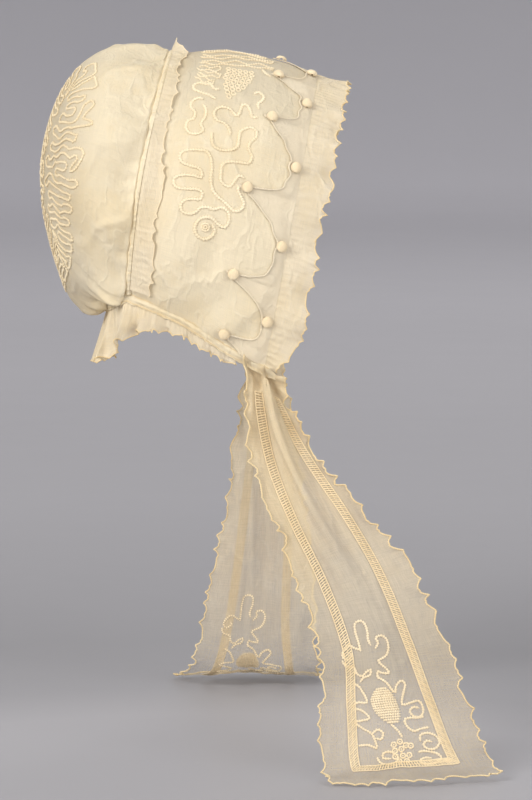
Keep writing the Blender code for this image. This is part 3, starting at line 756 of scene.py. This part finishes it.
def facing_depth(down):
    inner, outer = np.array(INNER_DOTS), np.array(OUTER_DOTS)
    place = np.abs(down)[..., None]
    tip = inner[np.argmin(np.abs(place - inner), -1)]
    valley = outer[np.argmin(np.abs(place - outer), -1)]
    share = np.abs(place[..., 0] - tip) / np.maximum(np.abs(valley - tip), 1e-6)
    steep = np.where(place[..., 0] < tip, 7.0, 1.75)
    least = 2 * DOT_RADIUS
    return least + (tip_depth(tip) - least) * np.maximum(1 - share, 0) ** steep


reach = free_arch(1)
down = np.linspace(-reach, reach, 700)
tips = np.array([side * dot * reach / max(reach, abs(dot)) for dot in INNER_DOTS for side in (-1, 1)])
down = np.unique(np.concatenate((down, tips)))
depth = facing_depth(down) + 0.6 * MM * ripple(down[:, None] * FORWARD, 0.035, 51)
share = np.linspace(0, 1, 14)[:, None]
# It lies close at the hem and rises to a rolled edge
lift = SKIN_LIFT * (0.35 + 0.65 * share) * (1 - 0.88 * smooth((share - 0.6) / 0.4)) + 0.55 * MM * (1 - share) ** 6
grid = panel_skin(1 - depth / PANEL_LENGTH * (1 - share), down * np.ones_like(share), lift)
facing = finished(sheet_object("front_facing_cloth", grid, facing_cloth), "muslin", "front_facing")
rolled = (grid[0], panel_normal(1 - depth / PANEL_LENGTH, down))
finished(threads("facing_edge", [whipped(*rolled, 0.62 * MM, 1.5 * MM)], facing_cloth, 6, 0.45), "muslin")

# Padded dots
DOT_TURNS, DOT_FILL, DOT_THREAD = 13, 0.92, 0.30 * MM
places = [(1 - (tip_depth(dot) - DOT_RADIUS * 1.3) / PANEL_LENGTH, dot) for dot in INNER_DOTS]
places += [(1 - DOT_RADIUS * 1.05 / PANEL_LENGTH, dot) for dot in OUTER_DOTS]
dot_lines, dot_names = [], []
for at, dot in places:
    for side in (-1, 1) if dot else (1,):
        dot_names.append(f"dot_{len(dot_names) + 1:02d}")
        centre = panel_skin(at, side * dot, FACING_LIFT)
        normal = panel_normal(at, side * dot)
        ahead = unit(panel_plain(at + 0.01, side * dot) - panel_plain(at - 0.01, side * dot))
        beside = np.cross(normal, ahead)
        for row in np.linspace(-DOT_FILL, DOT_FILL, DOT_TURNS):
            half = math.sqrt(1 - row * row) * DOT_RADIUS * DOT_FILL
            t = np.linspace(-1, 1, 11)
            rise = np.sqrt(1 - t**2) * math.sqrt(1 - row * row * 0.7) * DOT_HEIGHT * 0.72
            line = centre + beside * (row * DOT_RADIUS * DOT_FILL) + ahead * (t * half)[:, None]
            line = line + normal * rise[:, None] - normal * 0.5 * MM
            dot_lines.append((line, np.broadcast_to(normal, line.shape), DOT_THREAD))
finished(threads("padded_dots", dot_lines, satin_thread), "stitched", *dot_names)

# Front frill
POINTS_A_TOOTH = 24
FRONT_TEETH, FRONT_TOOTH = 46, 4.4 * MM
reach = free_arch(1)
turn = np.linspace(0, FRONT_TEETH, FRONT_TEETH * POINTS_A_TOOTH + 1)
down = (2 * turn / FRONT_TEETH - 1) * reach
start = panel_plain(np.ones_like(down), down)
normal = panel_normal(np.ones_like(down), down)
ahead = unit(start - panel_plain(np.full_like(down, 0.97), down))
wave = FRONT_FRILL_WAVE * uneven_wave(turn, 0.66 * math.pi, 1.3, 0.31)
flutter = 0.7 * MM * uneven_wave(turn, 4.3, 1.5, 0.9)
width = FRONT_FRILL_WIDTH * (0.55 + 0.45 * smooth((reach - np.abs(down)) / 0.12))
rows = []
for share in np.linspace(0, 1, 14):
    out = width * share - pointed(turn, FRONT_TOOTH, 1.0) * smooth((share - 0.5) / 0.5)
    curl = (wave * share**1.4 + flutter * share**2)[:, None]
    pucker = (0.16 * MM * uneven_wave(turn, 17, 3, 1) * (1 - share) * smooth(share / 0.1))[:, None]
    under = 0.12 * MM * (1 - smooth(share / 0.12))
    rows.append(start + ahead * (CLEARANCE - 9 * under + out)[:, None] + normal * (curl + pucker - under))
grid = np.array(rows)
front_frill = finished(sheet_object("front_frill_cloth", grid, frill_cloth), "muslin", "front_frill")
front_edge = whipped(grid[-1], grid_normals(grid)[-1])

# Seam frill: it lies on the panel, and stands up on top of the head
SEAM_TEETH, SEAM_TOOTH = 40, 2.6 * MM
reach = free_arch(0, 3.2 * NECK_CASING_RADIUS)
turn = np.linspace(0, SEAM_TEETH, SEAM_TEETH * POINTS_A_TOOTH + 1)
down = (2 * turn / SEAM_TEETH - 1) * reach
stand = 1 - smooth(np.abs(down) / 0.11)
base_lift = SEAM_CORD_RADIUS + CLEARANCE + CLOTH / 2
base = panel_plain(np.zeros_like(down), down) + panel_normal(np.zeros_like(down), down) * base_lift
ruffle = SEAM_FRILL_WAVE * (1 + uneven_wave(turn, 0.55 * math.pi, 1.7, 0.37)) * 0.55
uneven = 0.09 * np.sin(turn * 1.1) + 0.05 * np.sin(turn * 0.47)
width = SEAM_FRILL_WIDTH * (0.66 + 0.28 * smooth((np.abs(down) - 0.25) / 0.5) + uneven)
rows = []
for share in np.linspace(0, 1, 12):
    loss = pointed(turn, SEAM_TOOTH, 4.0) * smooth((share - 0.4) / 0.6)
    lift = 1.3 * MM * (1 - 0.5 * share) + share * ruffle + 0.12 * MM * np.sin(turn * 15) * (1 - share) * share * 3
    reached = SEAM_CORD_RADIUS * 0.9 + np.maximum(width * share - loss, 0)
    lying = panel_skin(reached / PANEL_LENGTH, down, np.maximum(lift, 0.8 * MM))
    up = unit(UP + FORWARD * 0.25)
    flare = np.sin(turn * 2.6)[:, None] * np.array((0.6, 0.25, 0.0)) * 2.4 * MM * share
    standing = base + up * (SEAM_FRILL_WIDTH * 0.55 * share - loss * 0.5)[:, None] + flare
    rows.append(lying * (1 - stand)[:, None] + standing * stand[:, None])
grid = np.array(rows)
seam_frill = finished(sheet_object("seam_frill_cloth", grid, frill_cloth), "muslin", "seam_frill")
seam_edge = whipped(grid[-1], grid_normals(grid)[-1], 0.26 * MM)

# Neck frill: share of the way from a lappet to the nape; width; depth of its waves; lean outwards in degrees
NECK_FRILL = np.array((
    (0.00, 0.15, 0.12, 12),
    (0.12, 0.26, 0.30, 20),
    (0.35, 0.34, 0.42, 28),
    (0.50, 0.46, 0.55, 30),
    (0.61, 0.80, 0.75, 22),
    (0.70, 0.94, 0.95, 16),
    (0.84, 0.98, 1.05, 12),
    (1.00, 1.00, 1.10, 8),
))
NECK_FLUTES, NECK_TOOTH = 13, 3.6 * MM


def neck_path(share):
    """The neck edge from the right lappet to the left one, and how far each place is from its end."""
    stop = 1 - LAPPET_TOP_WIDTH * 0.72 / PANEL_LENGTH
    side_part = 0.62
    half = 1 - np.abs(1 - 2 * share)
    along_side = panel_plain(stop * (1 - np.clip(half / side_part, 0, 1)), np.full_like(share, -1.0))
    round_nape = nape_point(-1 + np.clip((half - side_part) / (1 - side_part), 0, 1))
    point = np.where((half < side_part)[:, None], along_side, round_nape)
    point[:, 1] *= np.where(share > 0.5, -1, 1)
    return point, half


turn = np.linspace(0, 4 * NECK_FLUTES, 4 * NECK_FLUTES * 26 + 1)
point, half = neck_path(turn / (4 * NECK_FLUTES))
row = rows_at(NECK_FRILL, half)
middle = np.array((panel_plain(0, 1)[0] * 0.4, 0, 0))
out = unit((point - middle) * np.array((1, 1, 0)))
lean = np.radians(row[:, 3])[:, None]
fall = out * np.sin(lean) - UP * np.cos(lean)
along_edge = unit(np.gradient(point, axis=0))
width = NECK_FRILL_WIDTH * row[:, 1]
wave = NECK_FRILL_WAVE * row[:, 2] * np.sin(math.pi * turn / 2 + 0.6 + 0.9 * np.sin(turn * 0.83))
small = NECK_FRILL_WAVE * (0.20 + 0.20 * row[:, 2]) * uneven_wave(turn, 2.3, 1.9, 0.5)
swing = NECK_FRILL_WAVE * 0.35 * row[:, 2] * np.sin(math.pi * turn + 1.9)
start = point - UP * (NECK_CASING_RADIUS * 0.7)
rows = []
for share in np.linspace(0, 1, 20):
    drop = width * share - pointed(turn * 0.72, NECK_TOOTH, 2.0) * smooth((share - 0.45) / 0.55)
    gather = (0.12 + 0.2 * row[:, 2]) * MM * uneven_wave(turn, 9, 3, 0.8)
    curl = wave * share**1.1 + small * share**1.5 + gather * (1 - share) * smooth(share / 0.08)
    rows.append(start + fall * drop[:, None] + out * curl[:, None] + along_edge * (swing * share**2)[:, None])
grid = np.array(rows)
neck_frill = finished(sheet_object("neck_frill_cloth", grid, frill_cloth), "muslin", "neck_frill")
neck_edge = whipped(grid[-1], grid_normals(grid)[-1], 0.38 * MM)
finished(threads("frill_edging", [front_edge, neck_edge], edge_thread, 5), "muslin")
finished(threads("seam_frill_edging", [seam_edge], satin_thread, 5), "muslin")

# Lappets
LAPPET_ROWS, LAPPET_COLUMNS = 330, 73
LAPPET_TEETH, END_POINTS = 22, 4.5
LAPPET_TOOTH = 4.6 * MM
LADDER_PITCH = 1.45 * MM


def top_pleats(across, side):
    return uneven_wave(across, 17, 1.5, 6, side)


def lappet_skin(table, side, across, along, lift=0.0):
    """A lappet as cloth: long soft folds that run down it, and fine crumpling."""
    point = lappet_plain(table, side, across, along)
    across, along = paired(across, along)
    half = rows_at(table, along)[..., 4] * LAPPET_WIDTH / 2
    flat = np.stack((across * half, along * LAPPET_LENGTH, along * 0), -1)
    upper = 1 - smooth((along - 0.25) / 0.5)
    long_folds = ripple(flat * (1.0, 0.13, 1.0), 9 * MM, 31 + side) * (0.35 + 0.9 * upper) * MM
    crumple = ripple(flat * (1.0, 0.6, 1.0), 20 * MM, 37 + side) * 0.35 * MM
    fade = smooth(along / 0.04) * (1 - 0.6 * smooth((along - 0.88) / 0.1))
    pleats = top_pleats(across, side) * np.exp(-along / 0.07) * smooth(along / 0.012) * 1.3 * MM
    height = (long_folds + crumple) * fade + pleats + lift
    normal = normal_of(lambda u, v: lappet_plain(table, side, u, v), across, along, 0.02) * side
    return point + normal * height[..., None]


def line_normals(table, side, across, along):
    lifted = lappet_skin(table, side, across, along, 1.0 * MM)
    return unit(lifted - lappet_skin(table, side, across, along))


LAPPETS = (("right", RIGHT_LAPPET, -1), ("left", LEFT_LAPPET, 1))
outer_edge, inner_edge = insertion_edges()
hem_lines = []
for name, table, side in LAPPETS:
    across = np.linspace(-1, 1, LAPPET_COLUMNS)
    across = np.sign(across) * np.abs(across) ** 0.85
    along = np.linspace(0, 1, LAPPET_ROWS)
    far, down = np.meshgrid(across, along)
    turn = down * LAPPET_TEETH
    border = LAPPET_BORDER * np.where(far < 0, rows_at(table, down)[..., 6], rows_at(table, down)[..., 7])
    quiet = smooth(down / 0.05)
    losses = pointed(turn, LAPPET_TOOTH, 5.0 + side), pointed(turn + 0.4, LAPPET_TOOTH, 8.0 + side)
    side_loss = np.where(far < 0, *losses)
    side_loss = side_loss * quiet * (1 - outer_edge) / border
    at_side = smooth((np.abs(far) - outer_edge) / (1 - outer_edge))
    end_turn = (far + 1) * END_POINTS
    end_loss = pointed(end_turn, LAPPET_TOOTH, 3.0 + side) / LAPPET_LENGTH * smooth((down - 0.93) / 0.07)
    grid = lappet_skin(table, side, far * (1 - side_loss * at_side), down - end_loss)
    # The pointed edges curl a little
    curl = uneven_wave(turn, 2.7, 1.2, 0.57) * smooth((np.abs(far) - 0.78) / 0.22) * 1.0 * MM * quiet
    end_curl = np.sin(end_turn * 2.1) * smooth((down - 0.95) / 0.05) * 0.5 * MM
    normals = grid_normals(grid)
    grid = grid + normals * (curl * (1 - 0.7 * smooth((down - 0.85) / 0.1)) + end_curl)[..., None]
    # Its gathered top wraps the outside of the casing it is sewn to
    outwards = np.array((0.0, side, 0.0))
    gathers = 0.6 * MM * top_pleats(across, side)
    tops = [
        grid[0] + UP * (rise * MM) + outwards * (out * MM + gathers)[:, None]
        for rise, out in ((6.3, 3.0), (4.9, 3.4), (3.6, 2.6), (2.6, 1.3))
    ]
    grid = np.concatenate((tops, grid))
    lappet = finished(sheet_object(f"lappet_{name}_cloth", grid, lappet_cloth), "muslin", f"lappet_{name}")
    normals = grid_normals(grid)
    edge = np.vstack((grid[:, 0], grid[-1, 1:], grid[-2::-1, -1]))
    edge_out = np.vstack((normals[:, 0], normals[-1, 1:], normals[-2::-1, -1]))
    hem_lines.append(whipped(edge, edge_out, 0.5 * MM, 1.1 * MM))

    # Drawn-thread insertion: two rails and the bars between them
    crossing = 1 - LAPPET_BORDER / LAPPET_LENGTH
    band = INSERTION_WIDTH / LAPPET_LENGTH
    down_to = np.linspace(0.035, crossing - band, 900)
    inner, outer = [
        np.array(
            [(-edge, a * foot / (crossing - band)) for a in down_to]
            + [(c, foot) for c in np.linspace(-edge, edge, 160)[1:-1]]
            + [(edge, a * foot / (crossing - band)) for a in down_to[::-1]]
        )
        for edge, foot in ((inner_edge, crossing - band), (outer_edge, crossing))
    ]
    bars = []
    for share, radius in ((0.0, 0.40), (1.0, 0.40), (0.5, 0.26)):
        at = inner * (1 - share) + outer * share
        rail = lappet_skin(table, side, *at.T, 0.65 * MM)
        rail, out = evenly(1.2 * MM, rail, line_normals(table, side, *at.T))
        bars.append(whipped(rail, unit(out), radius * MM, 1.3 * MM))
    lines = []
    for share in np.linspace(0, 1, 5):
        at = inner * (1 - share) + outer * share
        lines.append(lappet_skin(table, side, *at.T, (0.55 + 0.25 * math.sin(math.pi * share)) * MM))
    rail_arc = arc_of((lines[0] + lines[-1]) / 2)
    marks = np.linspace(0, rail_arc[-1], int(rail_arc[-1] / LADDER_PITCH))
    crossings = np.stack([resampled(marks, rail_arc, line) for line in lines], 1)
    outwards = resampled(marks, rail_arc, line_normals(table, side, *((inner + outer) / 2).T))
    for k, (bar, out) in enumerate(zip(crossings, outwards)):
        bars.append((bar, np.broadcast_to(out, bar.shape), (0.40 + 0.08 * math.sin(k * 2.3)) * MM))
    finished(threads(f"insertion_{name}_stitches", bars, ladder_thread, 5, 0.7), "stitched", f"insertion_{name}")
finished(threads("lappet_edging", hem_lines, edge_thread, 5), "muslin")


def thousandths(*lines):
    """Lines of places, each written as a run of pairs in thousandths."""
    return [np.array(line).reshape(-1, 2) / 1000 for line in lines]


# Embroidery on the panel, as pairs of shares along and down its surface, alike on both sides
PANEL_VINES = thousandths(
    (390, 311, 350, 311, 325, 296, 283, 294, 242, 290, 212, 301, 225, 319, 278, 332, 333, 341, 378, 354),
    (300, 359, 260, 356, 225, 368, 225, 389, 260, 407, 260, 428, 225, 438, 223, 461, 255, 476, 305, 476,
     333, 462, 312, 444, 330, 421, 328, 397, 300, 378),
    (662, 388, 625, 392, 608, 374, 580, 356, 550, 359, 545, 382, 530, 397, 503, 389, 473, 379, 425, 378,
     390, 392, 385, 410, 410, 426, 458, 431, 495, 443, 510, 462),
    (393, 463, 400, 486, 420, 503, 475, 508, 537, 500, 570, 485, 568, 462, 573, 440, 625, 425, 667, 433,
     672, 449, 642, 468, 642, 487, 670, 504, 657, 522, 620, 526, 570, 530, 520, 536, 492, 550, 495, 572,
     503, 589, 540, 597, 570, 593, 590, 575, 615, 561, 650, 565),
    (422, 542, 383, 523, 325, 523, 268, 527, 228, 535, 220, 552, 245, 565, 297, 570, 345, 572, 372, 581,
     372, 595, 335, 595, 290, 596, 245, 600, 210, 610, 210, 626, 240, 635, 302, 633, 360, 628, 395, 634,
     388, 651, 343, 656, 300, 663, 275, 676, 285, 694, 333, 697, 375, 686, 395, 674, 438, 666, 485, 665,
     535, 654, 580, 661, 593, 680, 573, 698, 532, 699, 487, 690, 443, 691, 400, 704, 380, 726, 400, 744,
     448, 748, 492, 735, 512, 717, 487, 703),
    (415, 537, 432, 563, 435, 589, 453, 614, 485, 628, 527, 635, 573, 644, 615, 652, 657, 643, 670, 626,
     645, 612, 618, 597, 630, 581),
    (635, 174, 665, 194, 700, 204),
    (613, 305, 640, 292, 677, 305, 670, 326, 647, 341, 660, 361),
)
PANEL_ROWS_OVER_TOP = thousandths(
    (220, 78, 280, 74, 375, 59, 468, 32, 573, 50, 647, 48),
    (220, 123, 302, 130, 395, 116, 495, 102, 583, 100, 698, 87),
    (223, 167, 295, 169, 362, 166, 458, 153, 550, 155, 630, 144, 705, 147),
    (215, 202, 265, 207, 318, 207, 365, 201),
    (230, 227, 278, 234, 328, 239, 372, 235),
    (215, 248, 253, 260, 290, 269, 338, 276),
)
# A bunch of small rings: how many in each row, and the row's middle
PANEL_BUNCH = (
    (5, 0.494), (5, 0.500), (5, 0.492), (5, 0.486), (4, 0.487), (4, 0.478), (3, 0.470), (2, 0.462), (1, 0.457),
)
PANEL_RINGS = [
    (middle + (k - (count - 1) / 2) * 0.0385, 0.203 + row * 0.0165)
    for row, (count, middle) in enumerate(PANEL_BUNCH)
    for k in range(count)
]
# Embroidery on the lappets, as pairs of shares across and along them
LAPPET_VINES = thousandths(
    (-380, 670, -380, 647, -380, 624, -340, 606, -230, 602, -170, 611, -170, 629, -200, 647, -180, 661),
    (-390, 665, -470, 659, -560, 652, -620, 662, -640, 676, -590, 684, -540, 676, -560, 666),
    (-660, 683, -620, 698, -530, 705, -490, 719, -410, 725, -340, 717, -270, 714, -290, 725, -390, 729, -450, 739),
    (-130, 670, -50, 658, -60, 646, 60, 643, 140, 653, 130, 669, 60, 684, -40, 692, -120, 697, -80, 707,
     -30, 714, 10, 725, -90, 724, -160, 720, -170, 731, -100, 739, -40, 748, 10, 761, 60, 766, 100, 753,
     210, 743, 270, 750, 220, 764, 150, 781, 140, 793, 270, 790, 410, 787, 450, 798, 420, 812, 340, 819,
     260, 816, 230, 806, 310, 799, 390, 802),
    (420, 819, 310, 820, 200, 819, 120, 822, 130, 834, 210, 844, 320, 841, 450, 839),
    (260, 866, 290, 853, 400, 850, 490, 857, 510, 870, 430, 882, 340, 882, 290, 873, 350, 865, 420, 868),
    (190, 887, 280, 886, 410, 893, 450, 906, 380, 916, 260, 920, 170, 912, 240, 902, 340, 904),
    (-560, 738, -450, 750, -360, 780, -490, 780, -560, 789, -440, 797, -350, 813, -470, 817, -550, 818,
     -450, 831, -340, 843, -300, 860, -300, 870, -400, 863, -520, 863),
    (-340, 843, -260, 836, -200, 843, -230, 854, -300, 851),
    (-310, 888, -280, 903, -180, 911, -100, 905, -70, 891, -140, 881, -220, 881, -240, 892, -150, 896),
    (-90, 827, -10, 841, 40, 855),
)
LAPPET_OVAL, = thousandths(
    (-320, 777, -250, 759, -120, 753, -10, 763, 60, 784, 80, 809, 30, 825, -90, 827, -200, 817, -290, 798),
)
LAPPET_KNOTS, = thousandths(
    (-90, 867, -10, 862, 60, 870, 120, 872, -10, 877, -90, 880, -100, 893, -10, 892, 70, 892, -70, 906, 20, 906),
)


# Radius, pitch and waist of the knotted cords
PANEL_CORD = (1.12 * MM, 1.5 * MM, 0.34)
PEARL_CORD = (0.66 * MM, 1.55 * MM, 0.16)
CROWN_CORD = (0.98 * MM, 1.7 * MM, 0.32)
LAPPET_CORD = (0.84 * MM, 1.35 * MM, 0.34)
OVAL_CORD = (0.78 * MM, 1.3 * MM, 0.35)


def stitched_line(surface, normals, places, stitch):
    """A knotted cord through places on a surface."""
    return beaded(surface(*places.T), normals(*places.T), *stitch)


def ringed(surface, normals, place, radius, thread_radius, beads=6):
    """A small ring of knotted thread round a place on a surface."""
    centre, normal = surface(*place), normals(*place)
    side = unit(np.cross(normal, (0.3, 0.5, 0.8)))
    other = np.cross(normal, side)
    steps = np.arange(beads * 4 + 1)
    turn = (steps / (beads * 4) * 2 * math.pi)[:, None]
    points = centre + (side * np.cos(turn) + other * np.sin(turn)) * radius
    swell = thread_radius * (0.58 + 0.46 * np.abs(np.sin(steps * math.pi / 4)))
    return points, np.broadcast_to(normal, points.shape), swell


vines, rows_over_top, bead_rings = [], [], []
for side in (-1, 1):
    def on_panel(along, down):
        return panel_skin(along, side * down, 0.25 * MM)

    def off_panel(along, down):
        return panel_normal(along, side * down)

    for places in PANEL_VINES:
        vines.append(stitched_line(on_panel, off_panel, through(places), PANEL_CORD))
    for number, places in enumerate(PANEL_ROWS_OVER_TOP):
        # A long closed loop of pearl stitches, a little wavy
        line = through(places)
        sway = 0.0052 * np.sin(np.arange(len(line)) * 0.30 + 1.7 * number)[:, None] * np.array((0.0, 1.0))
        back = line[::-1] + np.array((0.0, 0.019)) + sway
        loop = np.vstack((line - sway, line[-1:] + (0.012, 0.0095), back, line[:1] + (-0.012, 0.0095), line[:1]))
        rows_over_top.append(stitched_line(on_panel, off_panel, loop[::3], PEARL_CORD))
    for place in PANEL_RINGS:
        bead_rings.append(ringed(on_panel, off_panel, place, 1.15 * MM, 0.50 * MM))
    for radius in (0.9, 2.1):
        bead_rings.append(ringed(on_panel, off_panel, (0.447, 0.717), radius * MM, 0.62 * MM, 8))
finished(threads("panel_embroidery", vines, white_thread, 6, 0.46), "stitched")
finished(threads("top_rows_embroidery", rows_over_top + bead_rings, white_thread, 6, 0.8), "stitched")

# Winding embroidery that covers the back of the crown
BACK_SHARES = np.linspace(0.3, 1.0, 200)
BACK_ARC = arc_of(crown_plain(0.5, BACK_SHARES)[::-1])[::-1]
# Where the embroidery ends: half-rim share and the crown's share
EDGE_OF_BACK = np.array((
    (0.00, 0.50), (0.145, 0.476), (0.23, 0.422), (0.30, 0.39), (0.45, 0.395),
    (0.60, 0.43), (0.69, 0.445), (0.75, 0.472), (0.83, 0.52), (1.00, 0.56),
))


def back_share(radius):
    """The crown's share at a distance from the middle of the back."""
    return np.interp(radius, BACK_ARC[::-1], BACK_SHARES[::-1])


def edge_of_back(rim):
    """How far from the middle of the back the embroidery reaches."""
    share = np.interp(np.abs((rim + 1) % 2 - 1), EDGE_OF_BACK[:, 0], EDGE_OF_BACK[:, 1])
    return np.interp(share, BACK_SHARES, BACK_ARC)


def on_crown(rim, radius):
    return crown_skin(rim, back_share(radius), 0.30 * MM)


def vermicelli(gap, rounds, most, seed):
    """A closed line that grows, never nearer to itself than the gap, till it winds all over half of the back.

    It is in metres on the flattened back: across from the middle, and up from the middle.
    """
    rng = np.random.default_rng(seed)
    turn = circle(60)
    line = np.stack((36 + 24 * np.cos(turn), 60 * np.sin(turn)), -1) * MM
    for _ in range(rounds):
        count = len(line)
        apart = line[:, None] - line[None]
        far = np.sqrt((apart**2).sum(-1)) + TINY
        order = np.abs(np.arange(count)[:, None] - np.arange(count)[None])
        push = np.clip(1 - far / gap, 0, 1) * (np.minimum(order, count - order) > 2)
        force = (apart * (push / far)[..., None]).sum(1)
        force /= np.maximum(np.linalg.norm(force, axis=1, keepdims=True) / 0.9, 1)
        pull = (np.roll(line, 1, 0) + np.roll(line, -1, 0)) / 2 - line
        line = line + 0.9 * force * MM + 0.30 * pull + rng.normal(0, 0.10 * MM, line.shape)
        reach = np.linalg.norm(line, axis=1)
        most_reach = edge_of_back(np.arctan2(line[:, 0], line[:, 1]) / math.pi) - 1.5 * MM
        line *= np.minimum(1, most_reach / np.maximum(reach, TINY))[:, None]
        line[:, 0] = np.maximum(line[:, 0], gap * 0.45)
        steps = np.linalg.norm(np.roll(line, -1, 0) - line, axis=1)
        if count < most:
            split = np.nonzero((steps > gap * 0.62) | (rng.random(count) < 0.012))[0]
            line = np.insert(line, split + 1, ((line + np.roll(line, -1, 0)) / 2)[split], axis=0)
    return line


half = vermicelli(4.3 * MM, 330, 1600, 4)
half = through(np.vstack((half, half[:1])))[::3]
# A slow drift bends the straight runs into curls
drift = np.stack((*half.T, half[:, 0] * 0), -1)
half = half + np.stack([ripple(drift, 11 * MM, seed) for seed in (61, 62)], -1) * 1.1 * MM
half[:, 0] = np.maximum(half[:, 0], 1.6 * MM)
windings = []
for side in (-1, 1):
    rim = side * np.arctan2(half[:, 0], half[:, 1]) / math.pi
    radius = np.maximum(np.linalg.norm(half, axis=1), 1.5 * MM)
    normals = crown_normal(rim, back_share(radius))
    windings.append(beaded(on_crown(rim, radius), normals, *CROWN_CORD))
finished(threads("crown_embroidery", windings, ground_thread, 5, 0.5), "stitched")

vines, places, outs = [], [], []
for name, table, side in LAPPETS:
    def on_lappet(across, along):
        return lappet_skin(table, side, across, along, 0.3 * MM)

    def off_lappet(across, along):
        return line_normals(table, side, across, along)

    for line in LAPPET_VINES:
        vines.append(stitched_line(on_lappet, off_lappet, through(line), LAPPET_CORD))
    for place in LAPPET_KNOTS:
        vines.append(ringed(on_lappet, off_lappet, place, 1.30 * MM, 0.58 * MM, 5))
        places.append(on_lappet(*place))
        outs.append(off_lappet(*place))
    # The filled oval: rows of knotted thread from side to side, over a soft padding
    oval = through(np.vstack((LAPPET_OVAL, LAPPET_OVAL[:1])))
    for along in np.arange(0.757, 0.826, 0.0048):
        crossings = []
        for a, b in zip(oval, oval[1:]):
            if (a[1] - along) * (b[1] - along) < 0:
                crossings.append(a[0] + (b[0] - a[0]) * (along - a[1]) / (b[1] - a[1]))
        if len(crossings) >= 2:
            row = np.linspace(min(crossings), max(crossings), 14)
            t = np.linspace(-1, 1, 14)
            dome = np.sqrt(np.maximum(1 - t**2 * 0.9, 0)) * (1 - ((along - 0.79) / 0.05) ** 2 * 0.6) * 1.1 * MM
            points = lappet_skin(table, side, row, np.full(14, along), 0.35 * MM + dome)
            vines.append(beaded(points, off_lappet(row, np.full(14, along)), *OVAL_CORD))
finished(threads("lappet_embroidery", vines, satin_thread, 6, 0.62), "stitched")
finished(knots("embroidery_knots", places, outs, 0.5 * MM, white_thread), "stitched")

# Stage: a plain pale floor that curves up into its walls far out
FLOOR_Z = cad_box[0][2] - 0.3 * MM
FLOOR_SIDES, FLAT_REACH, CURVE = 96, 6.0, 3.0
profile = [(radius, 0.0) for radius in (0.5, 1.5, 3.0, 4.5, FLAT_REACH)]
profile += [
    (FLAT_REACH + CURVE * math.sin(a), CURVE * (1 - math.cos(a))) for a in np.linspace(0.1, math.pi / 2, 14)
]
profile += [(9.0, 5.5)]
turn = circle(FLOOR_SIDES)
rings = np.array([
    np.stack((radius * np.cos(turn), radius * np.sin(turn), np.full(FLOOR_SIDES, FLOOR_Z + height)), -1)
    for radius, height in profile
])
ground = Nodes("floor_paint")
place = ground.add("ShaderNodeTexCoord").outputs["Object"]
split = ground.add("ShaderNodeSeparateXYZ", {0: place})
# Its tones follow the distance from a point beside the cap, in tens of metres. They are painted light and shade: set
# against the lamps' fall-off, darker near the cap and paler far out, so the floor and walls read evenly bright
ahead_of = ground.math("ADD", split.outputs[1], 0.25)
squares = [ground.math("MULTIPLY", value, value) for value in (split.outputs[0], ahead_of)]
distance = ground.math("SQRT", ground.math("ADD", *squares))
ramp = ground.add("ShaderNodeValToRGB", {0: ground.math("DIVIDE", distance, 10.0)})
FLOOR_TONES = (
    (0.015, 0.42), (0.027, 0.455), (0.036, 0.37), (0.050, 0.335), (0.070, 0.375), (0.12, 0.46), (0.18, 0.50),
    (0.23, 0.54), (0.30, 0.575), (0.36, 0.64), (0.47, 0.73), (0.69, 0.83), (0.80, 0.69), (0.93, 0.62),
)
for k, (at, tone) in enumerate(FLOOR_TONES):
    stop = ramp.color_ramp.elements[k] if k < 2 else ramp.color_ramp.elements.new(at)
    stop.position = at
    stop.color = (tone, tone * 0.985, tone * 1.045, 1)
grain = ground.ranged(ground.noise(place, 3.0, 2.0), 0.3, 0.7, 0.0, 0.03)
ground.link(ground.mix(grain, ramp.outputs[0], (0.5, 0.5, 0.52, 1)), "Base Color")
ground.link(ground.ranged(ground.noise(place, 9.0, 3.0), 0.3, 0.7, 0.50, 0.56), "Roughness")
paint = ground.finish({"Specular IOR Level": 0.3})
centre = len(profile) * FLOOR_SIDES
fan = np.array([(centre, (k + 1) % FLOOR_SIDES, k) for k in range(FLOOR_SIDES)])
floor_points = np.vstack((rings.reshape(-1, 3), [(0, 0, FLOOR_Z)]))
fill_mesh("floor", floor_points, grid_quads(len(profile), FLOOR_SIDES, True), None, paint, fan)


AIM = Vector((0.02, 0.0, -0.12))


def area_light(name, place, size, power, colour):
    data = bpy.data.lights.new(name, "AREA")
    data.shape = "RECTANGLE"
    data.size, data.size_y = size
    data.energy = power
    data.color = colour
    lamp = bpy.data.objects.new(name, data)
    lamp.location = place
    lamp.rotation_euler = (AIM - lamp.location).to_track_quat("-Z", "Y").to_euler()
    bpy.context.scene.collection.objects.link(lamp)


area_light("key", (-2.0, -2.1, 1.30), (1.7, 1.7), 86, (1.0, 0.985, 0.95))
area_light("fill", (2.1, -2.1, 0.3), (1.8, 1.8), 45, (1.0, 0.99, 0.97))
area_light("back", (0.8, 3.0, 2.6), (2.2, 1.6), 24, (1.0, 0.99, 0.98))
world = bpy.data.worlds.new("studio")
world.use_nodes = True
glow = world.node_tree.nodes["Background"].inputs
glow["Color"].default_value = (1.0, 0.99, 0.98, 1)
glow["Strength"].default_value = 0.48
bpy.context.scene.world = world

# The camera stands at the photo's viewing angle, in front of the wearer's right side
camera_data = bpy.data.cameras.new("camera")
camera_data.lens, camera_data.sensor_width, camera_data.clip_end = 142.1, 36, 60
camera = bpy.data.objects.new("camera", camera_data)
camera.location = (0.03192, -1.79014, -0.0085)
camera.rotation_euler = (math.radians(84), 0, 0)
bpy.context.scene.collection.objects.link(camera)
bpy.context.scene.camera = camera
bpy.context.scene.view_settings.view_transform = "Standard"

bpy.context.view_layer.update()
